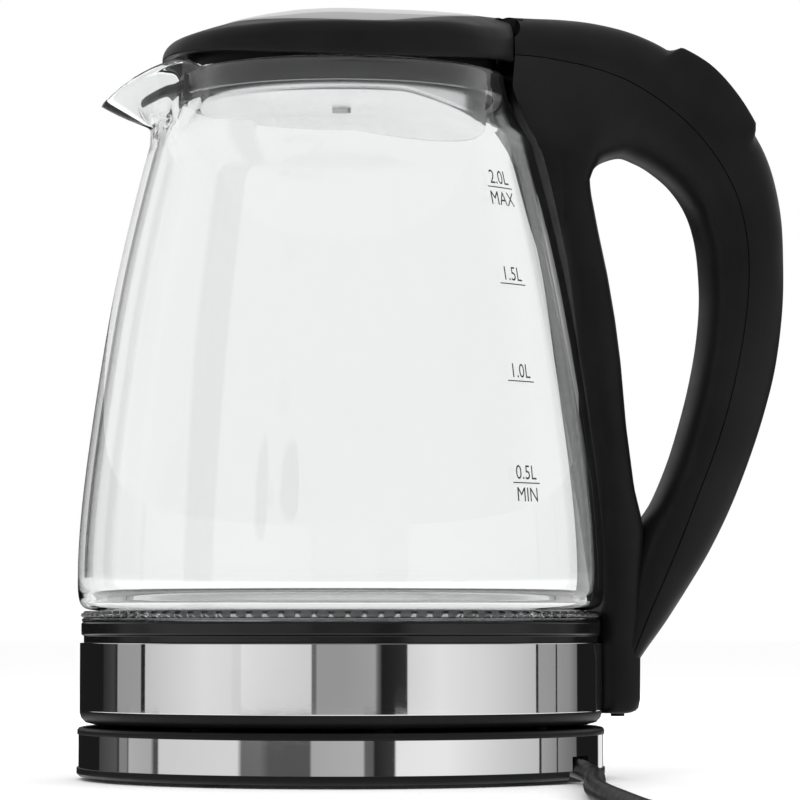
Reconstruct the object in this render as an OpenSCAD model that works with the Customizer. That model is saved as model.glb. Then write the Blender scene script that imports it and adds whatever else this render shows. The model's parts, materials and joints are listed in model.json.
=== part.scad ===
// Electric kettle: a glass jug on a steel-banded foot, with a hinged lid and a loop handle,
// standing on a round cordless power base. +Z is up, the handle is at +X, the spout at -X.

/* [Power base] */
// Radius of the base's plastic rims
base_r = 83.2; // [80:0.1:86]
// Height of the base's underside above the table
foot_gap = 1.2; // [1:0.1:2]
// Height of the base's flat deck
deck_z = 16.4; // [15.5:0.1:17]
// Radius of the connector post in the middle of the base
post_r = 14; // [12:0.5:15]

/* [Jug] */
// Radius of the steel skirt round the jug's foot
skirt_r = 82.3; // [80:0.1:84]
// Largest radius of the glass
glass_r = 83.5; // [82:0.1:85]
// Thickness of the glass
glass_wall = 2.8; // [2:0.1:3.2]
// Height of the glass rim
rim_z = 221; // [219:0.5:221]
// Outer radius of the glass neck
neck_r = 54.5; // [54:0.1:55]

/* [Lid] */
// Radius of the lid's side wall
lid_r = 57.2; // [56:0.1:58]
// Height of the top of the lid
lid_top = 243.7; // [243:0.1:245]
// Radius of the inlaid steel plate
plate_r = 41.8; // [38:0.1:43]
// Radius of the steel pan under the lid
pan_r = 46; // [44:0.1:46]

/* [Handle] */
// Half the width of the grip
grip_half = 14; // [13:0.5:16]
// Thickness of the handle's plastic shells
shell = 2.2; // [1.8:0.1:2.6]

/* [Lead] */
// Diameter of the mains lead
lead_d = 6.2; // [6:0.1:7]
// Radius of the stored coil, at the middle of the lead
coil_r = 36; // [32:1:38]

/* [Hidden] */
$fn = 96;
big = 400;
black = [0.1, 0.1, 0.1];
dark = [0.07, 0.07, 0.07];
steel = [0.8, 0.8, 0.82];
screw_grey = [0.7, 0.7, 0.72];
brass = [0.85, 0.65, 0.3];

// Base heights
band_low = 3.8;
band_high = 14.2;
band_r = 82.6;

// Screws in the base and in the jug's foot
base_screws_at = 50;
foot_screws_at = 60;
screw_hole = 1.5;
screw_shank = 1.45;
head_hole = 3.4;
head_r = 3;

// Jug heights
house_z = 17.3;
skirt_low = 21.5;
skirt_high = 42.7;
ring_low = 45;
ring_high = 49.2;
glass_low = 52.8;
belly_z = 65;
shoulder_z = 200;
belly_drop = 21.2;
belly_span = 130.6;
belly_power = 1.65;
collar_in = 48.6;
collar_low = 214.4;

// Lid hinge
hinge_x = 47;
hinge_z = 238;
seam_x = 50;
pin_r = 1.5;
hinge_relief = 6;
ear_y0 = 15.5;
ear_y1 = 19.5;

// The lid's crowned top is a surface of revolution about a line along X
crown_r = 131;
crown_x = 20;
crown_arc = 272;
lid_skin = 2;
plate_x = 2;
edge_low = 221.3;
edge_r = 303;
barrel_r = 4.2;

// The pod on the handle holds the lid button and the rocker, in a frame tilted along the handle
pod_at = [121.5, 0, 225.5];
pod_tilt = 39.8;
pod_arc = 62;
pod_arc_at = [3.5, -59.2];
pod_half = 9;
window_start = -13.4;
window_length = 34;
rocker_u = 14.3;
rocker_v = -5;
stub_r = 1.1;
stub_end = 11.2;

// The lead leaves the base along this line, at a small angle to the Y axis
channel_at = [58, -4];
channel_turn = 9;
channel_z = 6;
gland_length = 24;
notch_half = 4.2;
notch_top = 8.2;

// Outline of the handle, from the lid's seam round to its foot
handle_outer = [
    [50.5, 242.4], [68, 242.4], [84, 240.8], [98, 237.3], [110, 231.6], [120, 224.6],
    [129.5, 215], [137, 204], [142.5, 189], [145.4, 168], [144.9, 150], [142.5, 132],
    [137, 112], [128.5, 89], [116.5, 66], [105, 49], [96, 37.5]
];
// Outline of the finger gap on the grip's side, from the top left to the bottom
gap_grip = [
    [81, 187], [84.5, 195.6], [91.5, 198.3], [100.5, 194.7], [110, 187], [115.5, 175.5],
    [118, 158], [117.2, 141], [113, 120], [107.5, 102], [100, 85], [96.8, 82]
];
// The gap's other side, along the spine, from the bottom to the top
gap_spine = [[96.8, 82], [94.8, 92], [92.6, 112], [91, 132], [86.7, 160], [81, 187]];
// The crease where the grip's lower end lies against the spine
crease = [[95.4, 62], [95.2, 41]];
seam_depth = 12.5;
seam_fade = 0.6;
duct_z = 225;

// Half widths of the handle seen from above, from the lid's seam to the grip
handle_plan = [[49, 27.6], [56, 26.6], [66, 23.4], [78, 19], [92, 15.6], [106, grip_half], [150, grip_half]];

// Route of the lead along the table, from the gland to the coil
lead_route = [
    [61.8, -27.7, 6], [63.6, -39, 5.2], [65, -51, 4.3], [64.4, -66, 3.5], [60.5, -88, 3.1],
    [54.5, -112, 3.1], [48, -137, 3.1], [42.5, -162, 3.1], [38, -187, 3.1], [34, -212, 3.1],
    [30.5, -237, 3.1], [27, -262, 3.1], [24, -285, 3.1], [23, -302, 3.1], [26, -318, 3.1],
    [34.5, -332.5, 3.1], [47, -342.5, 3.1], [62, -347.5, 3.1], [78, -350, 3.1], [96.7, -352.5, 3.1]
];
coil_at = [103, -317];
coil_low = 3.2;
coil_high = 9.5;
// Route of the lead from the top of the coil to the plug
tail_route = [
    [138.5, -323.3, 9.5], [140.5, -312, 10], [142.5, -300, 12], [144.6, -288, 15.5], [146.3, -278, 18],
    [148, -268, 19]
];
plug_at = [148, -268, 19];
plug_turn = 80.4;
plug_r = 18.6;
pin_half_gap = 9.5;

function spline(a, b, c, d, t) =
    0.5 * (2 * b + (c - a) * t + (2 * a - 5 * b + 4 * c - d) * t * t
    + (3 * b - a - 3 * c + d) * t * t * t);

function curve(p, n) = concat(
    [for (i = [0 : len(p) - 2], j = [0 : n - 1])
        spline(p[max(i - 1, 0)], p[i], p[i + 1], p[min(i + 2, len(p) - 1)], j / n)],
    [p[len(p) - 1]]);

function reversed(p) = [for (i = [len(p) - 1 : -1 : 0]) p[i]];

function unit(v) = v / norm(v);

// Points of a path moved sideways to its right by d, less and less past the given share of it
function beside(p, d, fade = 2) = [
    for (i = [0 : len(p) - 1])
        let (t = unit(p[min(i + 1, len(p) - 1)] - p[max(i - 1, 0)]),
            s = i / (len(p) - 1),
            left = s < fade ? 1 : (1 - s) / (1 - fade))
        p[i] + d * left * [t[1], -t[0]]
];

// Outer radius of the glass above its widest point
function belly(z) = glass_r - belly_drop * pow(max(z - belly_z, 0) / belly_span, belly_power);

outer_path = curve(handle_outer, 4);
seam_path = beside(outer_path, seam_depth, seam_fade);
wall_path = beside(outer_path, shell, seam_fade);
grip_path = curve(gap_grip, 4);
spine_path = curve(gap_spine, 3);

glass_outside = concat(
    [[77, glass_low], [80.4, glass_low + 0.6], [82.4, glass_low + 2.2], [83.3, glass_low + 5], [glass_r, 61]],
    [for (z = [belly_z : 7.5 : shoulder_z]) [belly(z), z]],
    [[60.4, shoulder_z + 1.5], [58, 205.5], [56, 209.7], [54.8, 214], [neck_r, 217], [neck_r, rim_z]]);
glass_inside = concat(
    [[74.2, glass_low], [78.4, glass_low + 2.8], [80.2, glass_low + 6], [glass_r - glass_wall, 62]],
    [for (z = [belly_z : 7.5 : shoulder_z]) [belly(z) - glass_wall, z]],
    [[57.6, shoulder_z + 1.5], [55.2, 205.5], [53.2, 209.7], [52, 214],
    [neck_r - glass_wall, 217], [neck_r - glass_wall, rim_z]]);

// Side view of the beak, from its root under the neck round its tip to the lid
beak_side = [
    [-48, 202.5], [-58, 202.8], [-63, 204], [-70, 206.6], [-76, 209], [-76.8, 210.4], [-76.2, 211.6],
    [-73, 215], [-69, 218.4], [-64.5, 221.2], [-60, 223.4], [-56, 224.6], [-50, 224.6], [-44, 223.6]
];
beak_hollow = [
    [-44, 206.6], [-58, 206.2], [-64, 208], [-70, 209.8], [-74.2, 211.2], [-76, 214],
    [-76, 240], [-44, 240]
];
// Half widths of the beak seen from above
beak_plan = [
    [-44, 20.5], [-50, 19.4], [-56, 16.2], [-62, 11.8], [-68, 7.6], [-73, 4.6], [-76, 2.4], [-77, 0]
];

// ---------- shared shapes ----------

module disc(r, z0, z1) {
    translate([0, 0, z0]) cylinder(r = r, h = z1 - z0);
}

module tube(ro, ri, z0, z1) {
    difference() {
        disc(ro, z0, z1);
        disc(ri, z0 - 1, z1 + 1);
    }
}

// A plate with the given XZ outline, reaching half to each side of the Y = 0 plane
module slab(points, half) {
    rotate([90, 0, 0]) translate([0, 0, -half]) linear_extrude(2 * half) polygon(points);
}

// A bar along Y between two values of Y
module rod_y(r, x, z, y0, y1, sides = 48) {
    translate([x, y0, z]) rotate([-90, 0, 0]) cylinder(r = r, h = y1 - y0, $fn = sides);
}

module rod_x(r, x0, x1, z, sides = 48) {
    translate([x0, 0, z]) rotate([0, 90, 0]) cylinder(r = r, h = x1 - x0, $fn = sides);
}

// A straight round bar between two points
module bar(a, b, r, sides = 16) {
    d = b - a;
    translate(a) rotate([0, acos(d[2] / norm(d)), atan2(d[1], d[0])])
        cylinder(r = r, h = norm(d), $fn = sides);
}

// A plan outline mirrored about the X axis
module both_sides(points) {
    polygon(concat(points, [for (p = reversed(points)) [p[0], -p[1]]]));
}

// A sweep of a circle along a route that lies near the table
module sweep(route, r, sides = 10) {
    rings = len(route);
    along = [for (i = [0 : rings - 1]) unit(route[min(i + 1, rings - 1)] - route[max(i - 1, 0)])];
    points = [for (i = [0 : rings - 1])
        let (t = along[i], s = unit(cross(t, [0, 0, 1])), u = cross(s, t))
        for (k = [0 : sides - 1]) route[i] + r * (cos(360 * k / sides) * s + sin(360 * k / sides) * u)];
    walls = [for (i = [0 : rings - 2], k = [0 : sides - 1])
        let (a = i * sides + k, b = i * sides + (k + 1) % sides) [a, a + sides, b + sides, b]];
    first = [for (k = [0 : sides - 1]) k];
    last = [for (k = [sides - 1 : -1 : 0]) (rings - 1) * sides + k];
    polyhedron(points, concat([first], [last], walls), convexity = 8);
}

module along_channel() {
    translate([channel_at[0], channel_at[1], 0]) rotate(channel_turn) children();
}

module in_pod() {
    translate(pod_at) rotate([0, pod_tilt, 0]) children();
}

// ---------- power base ----------

foot_ring = 66;
foot_r = 6;

module base_feet() {
    color(dark)
        for (a = [45 : 90 : 315])
            rotate(a) translate([foot_ring, 0, 0]) cylinder(r = foot_r, h = foot_gap + 1.2, $fn = 48);
}

// The groove under the base in which the lead runs out to the rim
module lead_channel(half, top) {
    along_channel() translate([-half, -100, -1]) cube([2 * half, 100, top + 1]);
}

module base_bottom_cover() {
    roof = 10.8;
    color(black) difference() {
        union() {
            rotate_extrude() polygon([
                [0, foot_gap], [base_r - 0.8, foot_gap], [base_r, foot_gap + 0.8],
                [base_r, band_low], [0, band_low]]);
            along_channel() translate([-8, -31, band_low - 1]) cube([16, 34, roof + 2.4 - band_low]);
        }
        for (a = [45 : 90 : 315])
            rotate(a) translate([foot_ring, 0, -1]) cylinder(r = foot_r + 0.3, h = foot_gap + 2.2, $fn = 48);
        for (a = [90 : 120 : 330])
            rotate(a) translate([base_screws_at, 0, 0]) {
                translate([0, 0, -1]) cylinder(r = 1.7, h = 8, $fn = 32);
                translate([0, 0, -1]) cylinder(r = head_hole, h = foot_gap + 2.4, $fn = 32);
            }
        lead_channel(6, roof);
        along_channel() translate([0, 4, channel_z]) rotate([90, 0, 0]) cylinder(r = 3.4, h = 8, $fn = 48);
        along_channel() translate([-4.6, 3, 1.7]) cube([9.2, 2, 10]);
    }
}

module base_trim_band() {
    color(steel) difference() {
        tube(band_r, band_r - 0.9, band_low, band_high);
        lead_channel(notch_half, notch_top);
    }
}

module base_shell() {
    wall_r = band_r - 1;
    color(black) difference() {
        union() {
            rotate_extrude() polygon([
                [post_r + 0.2, deck_z - 2.2], [base_r - 0.2, deck_z - 2.2], [base_r - 0.2, deck_z - 0.9],
                [base_r - 0.7, deck_z - 0.2], [base_r - 1.6, deck_z], [post_r + 0.2, deck_z]]);
            tube(wall_r, wall_r - 2, band_low, deck_z - 2);
            for (a = [90 : 120 : 330])
                rotate(a) translate([base_screws_at, 0, band_low])
                    cylinder(r = 4, h = deck_z - 2 - band_low, $fn = 48);
        }
        for (a = [90 : 120 : 330])
            rotate(a) translate([base_screws_at, 0, 0]) cylinder(r = screw_hole, h = 12, $fn = 32);
        lead_channel(notch_half, notch_top);
    }
}

module base_screws() {
    color(screw_grey)
        for (a = [90 : 120 : 330])
            rotate(a) translate([base_screws_at, 0, 0]) difference() {
                union() {
                    translate([0, 0, 1.6]) cylinder(r = head_r, h = 1, $fn = 32);
                    translate([0, 0, 2.6]) cylinder(r = screw_shank, h = 8, $fn = 32);
                }
                translate([-2, -0.4, 1.4]) cube([4, 0.8, 0.7]);
                translate([-0.4, -2, 1.4]) cube([0.8, 4, 0.7]);
            }
}

module base_connector() {
    color(dark) difference() {
        union() {
            disc(20, deck_z - 5.2, deck_z - 2.2);
            disc(post_r, deck_z - 2.3, 31);
            disc(post_r - 1, 30.9, 32);
        }
        tube(9.5, 5, 20, 40);
        disc(2.2, 16, 40);
    }
}

module base_contacts() {
    color(brass) {
        tube(9.3, 5.3, 20, 21.6);
        tube(2.15, 1.6, 17, 30);
    }
}

// Three insulated leads from the gland to the connector
module base_leads() {
    color([0.5, 0.35, 0.15]) for (k = [-1 : 1])
        bar([57, 3.6 + 1.9 * k, channel_z + 1], [17, 3 * k, 9.8], 0.85);
}

module connector_shutter() {
    color([0.75, 0.75, 0.75]) tube(9.2, 5.3, 22.4, 26);
}

// ---------- lead ----------

module cord_gland() {
    color(dark) along_channel() translate([0, 0, channel_z]) rotate([90, 0, 0]) difference() {
        union() {
            translate([0, 0, -4.6]) cylinder(r = 4.2, h = 1.5, $fn = 48);
            translate([0, 0, -4]) cylinder(r = 3.3, h = 4.4, $fn = 48);
            cylinder(r1 = 4.4, r2 = 3.6, h = gland_length, $fn = 48);
        }
        for (k = [0 : 4], s = [0, 180])
            rotate([0, 0, s]) translate([2.6, -5, 3.5 + 4 * k]) cube([4, 10, 1.2]);
    }
}

module power_cord() {
    color(dark) sweep(curve(lead_route, 2), lead_d / 2, 10);
}

module cord_coil() {
    color(dark) translate([coil_at[0], coil_at[1], 0]) rotate_extrude() polygon([
        for (k = [0 : 23]) let (a = 15 * k)
            [coil_r + coil_low * cos(a), (sin(a) > 0 ? coil_high : coil_low) + coil_low * sin(a)]]);
}

module cord_tail() {
    color(dark) sweep(curve(tail_route, 2), lead_d / 2, 10);
}

module cord_tie() {
    color(dark) translate([coil_at[0], coil_at[1], 0]) rotate(150)
        translate([coil_r, 0, 0]) difference() {
            translate([-4.3, -3, 0]) cube([8.6, 6, 14]);
            translate([-3.5, -4, 0.8]) cube([7, 8, 12.4]);
        }
}

module in_plug() {
    translate(plug_at) rotate(plug_turn) rotate([0, 90, 0]) children();
}

module plug_body() {
    color(dark) in_plug() difference() {
        union() {
            cylinder(r1 = 4, r2 = 6.5, h = 22, $fn = 48);
            translate([0, 0, 21.9]) cylinder(r1 = 9, r2 = 17, h = 14, $fn = 64);
            translate([0, 0, 35.8]) cylinder(r = plug_r, h = 15.2, $fn = 64);
        }
        for (s = [-1, 1])
            translate([s * plug_r - 2.4, -3.2, 38]) cube([4.8, 6.4, 14]);
        translate([0, 0, 49.6]) cylinder(r = 15, h = 3, $fn = 64);
    }
}

module plug_pins() {
    color([0.8, 0.8, 0.8]) in_plug() {
        for (s = [-1, 1]) {
            translate([0, s * pin_half_gap, 49.6]) cylinder(r = 2.4, h = 19, $fn = 32);
            translate([s * 16.9 - 0.5, -2.4, 38]) cube([1, 4.8, 13]);
        }
    }
}

// ---------- foot of the jug ----------

module bottom_housing() {
    in_r = skirt_r - 0.7;
    color(black) difference() {
        union() {
            rotate_extrude() polygon([
                [24.3, house_z], [skirt_r - 4.2, house_z], [skirt_r - 1.8, house_z + 0.6],
                [skirt_r - 0.5, house_z + 2], [skirt_r, skirt_low - 0.6], [skirt_r, skirt_low],
                [in_r, skirt_low], [in_r, skirt_high], [in_r - 2, skirt_high],
                [in_r - 2, house_z + 2.2], [24.3, house_z + 2.2]]);
            for (a = [0 : 45 : 315])
                rotate(a) translate([73, 0, deck_z]) cylinder(r = 3, h = 1.2, $fn = 32);
            for (a = [30 : 120 : 270])
                rotate(a) translate([foot_screws_at, 0, house_z]) cylinder(r = 4, h = 18, $fn = 48);
        }
        for (a = [30 : 120 : 270])
            rotate(a) translate([foot_screws_at, 0, 0]) {
                cylinder(r = screw_hole, h = 33, $fn = 32);
                cylinder(r = head_hole, h = house_z + 1.6, $fn = 32);
            }
    }
}

module steel_skirt() {
    color(steel) tube(skirt_r, skirt_r - 0.65, skirt_low, skirt_high);
}

module middle_ring() {
    color(dark) rotate_extrude() polygon([
        [76, skirt_high], [skirt_r - 1.2, skirt_high], [skirt_r - 1.2, ring_low], [skirt_r - 0.4, ring_low],
        [skirt_r - 0.4, ring_high], [76, ring_high]]);
}

module light_ring() {
    color([0.85, 0.9, 0.92, 0.5]) tube(81.8, 76.4, ring_high, glass_low - 0.2);
}

module light_board() {
    color([0.2, 0.4, 0.25]) {
        tube(75.4, 68, 44, 45.4);
        for (a = [0 : 30 : 330])
            rotate(a) translate([70.4, -1.6, 45.3]) cube([3, 3.2, 1.6]);
    }
}

module kettle_connector() {
    color([0.75, 0.75, 0.72]) difference() {
        union() {
            disc(24, house_z + 0.2, 36);
            translate([-20, -14, 35.9]) cube([40, 28, 3]);
        }
        disc(post_r + 1, 10, 33);
    }
}

module kettle_contacts() {
    color(brass) {
        disc(1.2, 24, 33);
        tube(7.6, 6.6, 26.2, 33);
    }
}

module bimetal_control() {
    color([0.8, 0.72, 0.5]) for (s = [-1, 1])
        translate([s * 9, 0, 38.9]) {
            cylinder(r = 7, h = 1.2, $fn = 48);
            cylinder(r = 2, h = 4.1, $fn = 32);
        }
}

module housing_screws() {
    color(screw_grey) for (a = [30 : 120 : 270])
        rotate(a) translate([foot_screws_at, 0, 0]) {
            translate([0, 0, house_z + 0.5]) cylinder(r = head_r, h = 1.1, $fn = 32);
            translate([0, 0, house_z + 1.5]) cylinder(r = screw_shank, h = 12, $fn = 32);
        }
}

module heater_plate() {
    color([0.75, 0.75, 0.76]) rotate_extrude() polygon([
        [0, 47.8], [66, 47.8], [68, 49.4], [75.6, 49.4], [75.6, 50.2], [67.6, 50.2], [65.6, 48.6], [0, 48.6]]);
}

module heating_element() {
    color([0.55, 0.5, 0.45]) rotate([0, 0, 20]) rotate_extrude(angle = 320)
        translate([46, 44.4]) circle(r = 3.4, $fn = 32);
}

module jug_seal() {
    color([0.85, 0.85, 0.85]) rotate_extrude() polygon([
        [70, 50.3], [75.6, 50.3], [75.6, glass_low - 0.1], [73.8, glass_low - 0.1], [70, 51.2]]);
}

// ---------- glass ----------

module turned(points) {
    rotate_extrude($fn = 120) polygon(concat([[0, points[0][1]]], points, [[0, points[len(points) - 1][1]]]));
}

module beak(side, plan) {
    intersection() {
        slab(side, 30);
        translate([0, 0, 190]) linear_extrude(60) both_sides(plan);
    }
}

// The beak's plan, narrowed by the thickness of the glass
beak_inner_plan = [for (p = beak_plan) if (p[1] > glass_wall - 0.4) [p[0], p[1] - glass_wall + 0.4]];

module glass_jug() {
    color([0.8, 0.9, 0.92, 0.35]) difference() {
        union() {
            turned(glass_outside);
            beak(beak_side, beak_plan);
        }
        turned(glass_inside);
        disc(74.2, glass_low - 1, glass_low + 0.1);
        disc(neck_r - glass_wall, 217, big);
        beak(beak_hollow, beak_inner_plan);
    }
}

module neck_collar() {
    color(dark) difference() {
        tube(neck_r - glass_wall - 0.2, collar_in, collar_low, rim_z);
        translate([-60, -11, 205]) cube([20, 22, 30]);
    }
}

// Frame of the scale filter, a tongue that reaches from the collar into the beak
module spout_filter() {
    color(dark) difference() {
        union() {
            translate([-51, -10.6, 212]) cube([2.2, 21.2, 9]);
            intersection() {
                slab([[-63.5, 212.4], [-62.5, 213.8], [-50, 219.4], [-50, 217.9], [-62, 212]], 10);
                translate([0, 0, 200]) linear_extrude(30)
                    both_sides([[-49, 9], [-56, 8], [-60, 5.6], [-63, 2.4], [-64, 0]]);
            }
        }
        translate([-52, -8, 213.4]) cube([5, 16, 3.6]);
        translate([-60, -4.6, 205]) cube([8, 9.2, 30]);
    }
}

module filter_mesh() {
    color([0.8, 0.8, 0.8]) {
        for (k = [-3 : 3])
            translate([-50.1, 2.2 * k - 0.2, 213.2]) cube([0.4, 0.4, 4]);
        for (k = [0 : 2])
            translate([-50.1, -8.2, 214 + 1.1 * k]) cube([0.4, 16.4, 0.4]);
    }
}

// ---------- handle ----------

// The space taken by the jug, its lid and its foot, with a little air round it
module jug_clearance() {
    air = 0.3;
    turned([for (p = glass_outside) [p[0] + air, p[1]]]);
    disc(skirt_r + air, 10, glass_low + 2);
    disc(neck_r + air, 210, rim_z + air);
    translate([-big, -50, 190]) cube([big + seam_x + 0.5, 100, 80]);
}

module handle_width() {
    translate([0, 0, 196]) linear_extrude(60) both_sides(curve(handle_plan, 4));
    translate([0, -grip_half, 0]) cube([160, 2 * grip_half, 205]);
}

module pod_window() {
    in_pod() translate([window_start, -pod_half - 0.4, -12]) cube([window_length, 2 * pod_half + 0.8, 20]);
}

module handle_cover() {
    color(black) difference() {
        intersection() {
            slab(concat(outer_path, reversed(seam_path)), 30);
            handle_width();
        }
        intersection() {
            slab(concat(wall_path, reversed(beside(outer_path, seam_depth + 1))), grip_half - shell);
            translate([56, -50, 50]) cube([100, 100, 200]);
        }
        rod_y(hinge_relief, hinge_x, hinge_z, -40, 40, 64);
        in_pod() rod_y(stub_r + 0.3, rocker_u, rocker_v, -stub_end - 0.3, stub_end + 0.3, 32);
        for (s = [0, 1])
            mirror([0, s, 0]) translate([40, ear_y0 - 0.2, 200]) cube([15.3, ear_y1 - ear_y0 + 0.4, 40.7]);
        latch_way();
        pod_window();
        jug_clearance();
    }
}

// The slot that the latch slides in through the handle's front wall
module latch_way() {
    translate([50, -3.3, 228.7]) cube([8, 6.6, 3]);
}

module handle_inner_shell() {
    color(black) difference() {
        union() {
            intersection() {
                slab(concat(seam_path, reversed(crease), reversed(grip_path), [[58, 187], [50.5, 205]]), 30);
                handle_width();
            }
            for (s = [0, 1])
                mirror([0, s, 0]) {
                    rod_y(2.5, hinge_x, hinge_z, ear_y0, ear_y1);
                    translate([hinge_x, ear_y0, hinge_z - 2.4]) cube([8, ear_y1 - ear_y0, 4.6]);
                    translate([51.5, ear_y0, 224]) cube([3.5, ear_y1 - ear_y0, 12]);
                }
        }
        intersection() {
            slab(concat(seam_path, reversed(beside(grip_path, -shell)), [[66, 190], [58, 214]]), 10.5);
            translate([57, -50, 100]) cube([100, 100, 200]);
        }
        rod_x(3.2, 50, 60, duct_z);
        latch_way();
        rod_y(pin_r, hinge_x, hinge_z, -30, 30);
        difference() {
            jug_clearance();
            translate([40, -30, 230]) cube([20, 60, 12]);
        }
    }
}

module handle_spine() {
    color(black) difference() {
        slab(concat(
            [[81, 187]], reversed(spine_path), crease,
            [[94.6, 38], [94.6, 22.3], [92.8, 20.3], [80, 20.3], [80, 70], [76, 130], [58, 187]]), 13.6);
        jug_clearance();
        intersection() {
            translate([0, -3, 56]) cube([100, 6, 126]);
            difference() {
                turned([for (p = glass_outside) [p[0] + 6.6, p[1]]]);
                turned([for (p = glass_outside) [p[0] + 1.2, p[1]]]);
            }
        }
        translate([90, 0, 15]) cylinder(r = 1.2, h = 16, $fn = 32);
    }
}

module handle_screw() {
    color(dark) {
        translate([90, 0, 19.2]) cylinder(r = 2.2, h = 1.1, $fn = 32);
        translate([90, 0, 20]) cylinder(r = 1.15, h = 9, $fn = 32);
    }
}

// Wires up the spine and through the top of the handle to the switch
module handle_wiring() {
    route = [
        [86.2, 0, 58], [86.3, 0, 80], [84.6, 0, 105], [80.8, 0, 135], [74.4, 0, 165],
        [70, 0, 180]];
    color([0.6, 0.15, 0.1]) for (i = [0 : len(route) - 2])
        bar(route[i], route[i + 1], 1.1);
}

module steam_duct() {
    color([0.7, 0.7, 0.7]) difference() {
        rod_x(3, 55.4, 79, duct_z);
        rod_x(2.2, 54, 80, duct_z);
    }
}

module steam_switch() {
    color([0.75, 0.72, 0.6]) {
        translate([103, -7, 198.5]) cube([11, 14, 11.5]);
        translate([102.2, 0, 204.3]) rotate([0, 90, 0]) cylinder(r = 5, h = 1, $fn = 48);
    }
}

module hinge_pin() {
    color([0.8, 0.8, 0.8]) rod_y(pin_r, hinge_x, hinge_z, -ear_y1, ear_y1);
}

// ---------- lid ----------

// Everything under the lid's crowned top, raised by the given amount
module crown(up) {
    r = crown_arc;
    translate([crown_x, 0, lid_top - crown_r]) rotate([0, 90, 0]) rotate_extrude($fn = 160)
        intersection() {
            translate([crown_r + up - r, 0]) circle(r = r, $fn = 360);
            translate([0, -100]) square([200, 200]);
        }
}

// The lid's curved lower edge rises towards the spout and towards the handle
module above_edge() {
    rod_y(edge_r, 0, edge_low + edge_r, -100, 100, 360);
}

module lid_outline(inset) {
    intersection() {
        disc(lid_r - inset, 215, 260);
        translate([-100, -100, 200]) cube([100 + seam_x - inset, 200, 60]);
    }
}

module lid_cover() {
    color(black) difference() {
        union() {
            difference() {
                intersection() {
                    lid_outline(0);
                    crown(0);
                    above_edge();
                }
                intersection() {
                    lid_outline(lid_skin);
                    crown(-lid_skin);
                }
            }
            intersection() {
                union() {
                    tube(49.3, 47.3, 223, 260);
                    disc(4, 214, 260);
                    for (s = [0, 1])
                        mirror([0, s, 0]) rod_y(barrel_r, hinge_x, hinge_z, 6, ear_y0 - 0.4);
                    translate([38, -ear_y0 + 0.4, 234]) cube([8, 2 * ear_y0 - 0.8, 20]);
                }
                crown(-0.4);
                lid_outline(0);
            }
        }
        rod_y(pin_r + 0.05, hinge_x, hinge_z, -30, 30);
        rod_y(3.4, hinge_x, hinge_z, -6, 6);
        for (s = [0, 1])
            mirror([0, s, 0]) translate([42, ear_y0 - 0.4, 232.5]) cube([20, ear_y1 - ear_y0 + 0.8, 20]);
        translate([plate_x, 0, 0]) intersection() {
            disc(plate_r + 0.2, 215, 260);
            translate([-plate_x, 0, 0]) difference() {
                crown(5);
                crown(-0.95);
            }
        }
        disc(1.6, 200, 228);
    }
}

module lid_plate() {
    color(steel) intersection() {
        translate([plate_x, 0, 0]) disc(plate_r, 215, 260);
        difference() {
            crown(0.2);
            crown(-0.9);
        }
    }
}

module lid_pan() {
    thick = 0.8;
    side = [[-50, 226], [-50, 211.8], [15, 211.8], [50, 204], [50, 226]];
    color([0.8, 0.8, 0.8]) difference() {
        intersection() {
            disc(pan_r, 200, 226);
            slab(side, 50);
        }
        intersection() {
            disc(pan_r - thick, 200, 230);
            translate([0, 0, thick]) slab(side, 50);
        }
        disc(1.6, 200, 220);
    }
}

module lid_seal() {
    color([0.85, 0.85, 0.85]) tube(47.4, pan_r + 0.05, 218, 220.4);
}

module lid_screw() {
    color([0.7, 0.7, 0.7]) difference() {
        union() {
            disc(3, 210.6, 211.8);
            disc(1.5, 211.7, 222);
        }
        translate([-2, -0.4, 210.4]) cube([4, 0.8, 0.7]);
    }
}

module lid_spring() {
    color([0.6, 0.6, 0.62]) translate([hinge_x, 0, hinge_z]) rotate([90, 0, 0])
        for (k = [-4 : 4])
            translate([0, 0, 1.2 * k]) rotate_extrude($fn = 48) translate([2.5, 0]) circle(r = 0.65, $fn = 16);
}

// ---------- controls ----------

module pod_block(u0, u1, low, half) {
    rotate([90, 0, 0]) translate([0, 0, -half]) linear_extrude(2 * half) intersection() {
        translate(pod_arc_at) circle(r = pod_arc, $fn = 240);
        translate([u0, low]) square([u1 - u0, 20]);
    }
}

module lid_button() {
    color(black) in_pod() {
        difference() {
            pod_block(-13, 8, -6, pod_half);
            translate([-11, -pod_half + 2, -8]) cube([17, 2 * pod_half - 4, 6.5]);
        }
        for (s = [-1, 1])
            translate([-6, s * 5 - 1, -14]) cube([5, 2, 12.6]);
    }
}

module switch_rocker() {
    color(black) in_pod() {
        pod_block(9.8, 19, -6.4, pod_half);
        rod_y(stub_r, rocker_u, rocker_v, -stub_end, stub_end, 32);
    }
}

module latch() {
    color([0.75, 0.75, 0.75]) {
        translate([51, -3, 229]) cube([51, 6, 2.4]);
        translate([80, -4.5, 227.6]) cube([2, 9, 5.2]);
        translate([99.6, -3, 222]) cube([2.4, 6, 7.1]);
    }
}

module latch_spring() {
    color([0.6, 0.6, 0.62]) for (k = [0 : 10])
        translate([83 + 1.3 * k, 0, 230.2]) rotate([0, 90, 0]) rotate_extrude($fn = 48)
            translate([4.1, 0]) circle(r = 0.7, $fn = 16);
}

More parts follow.
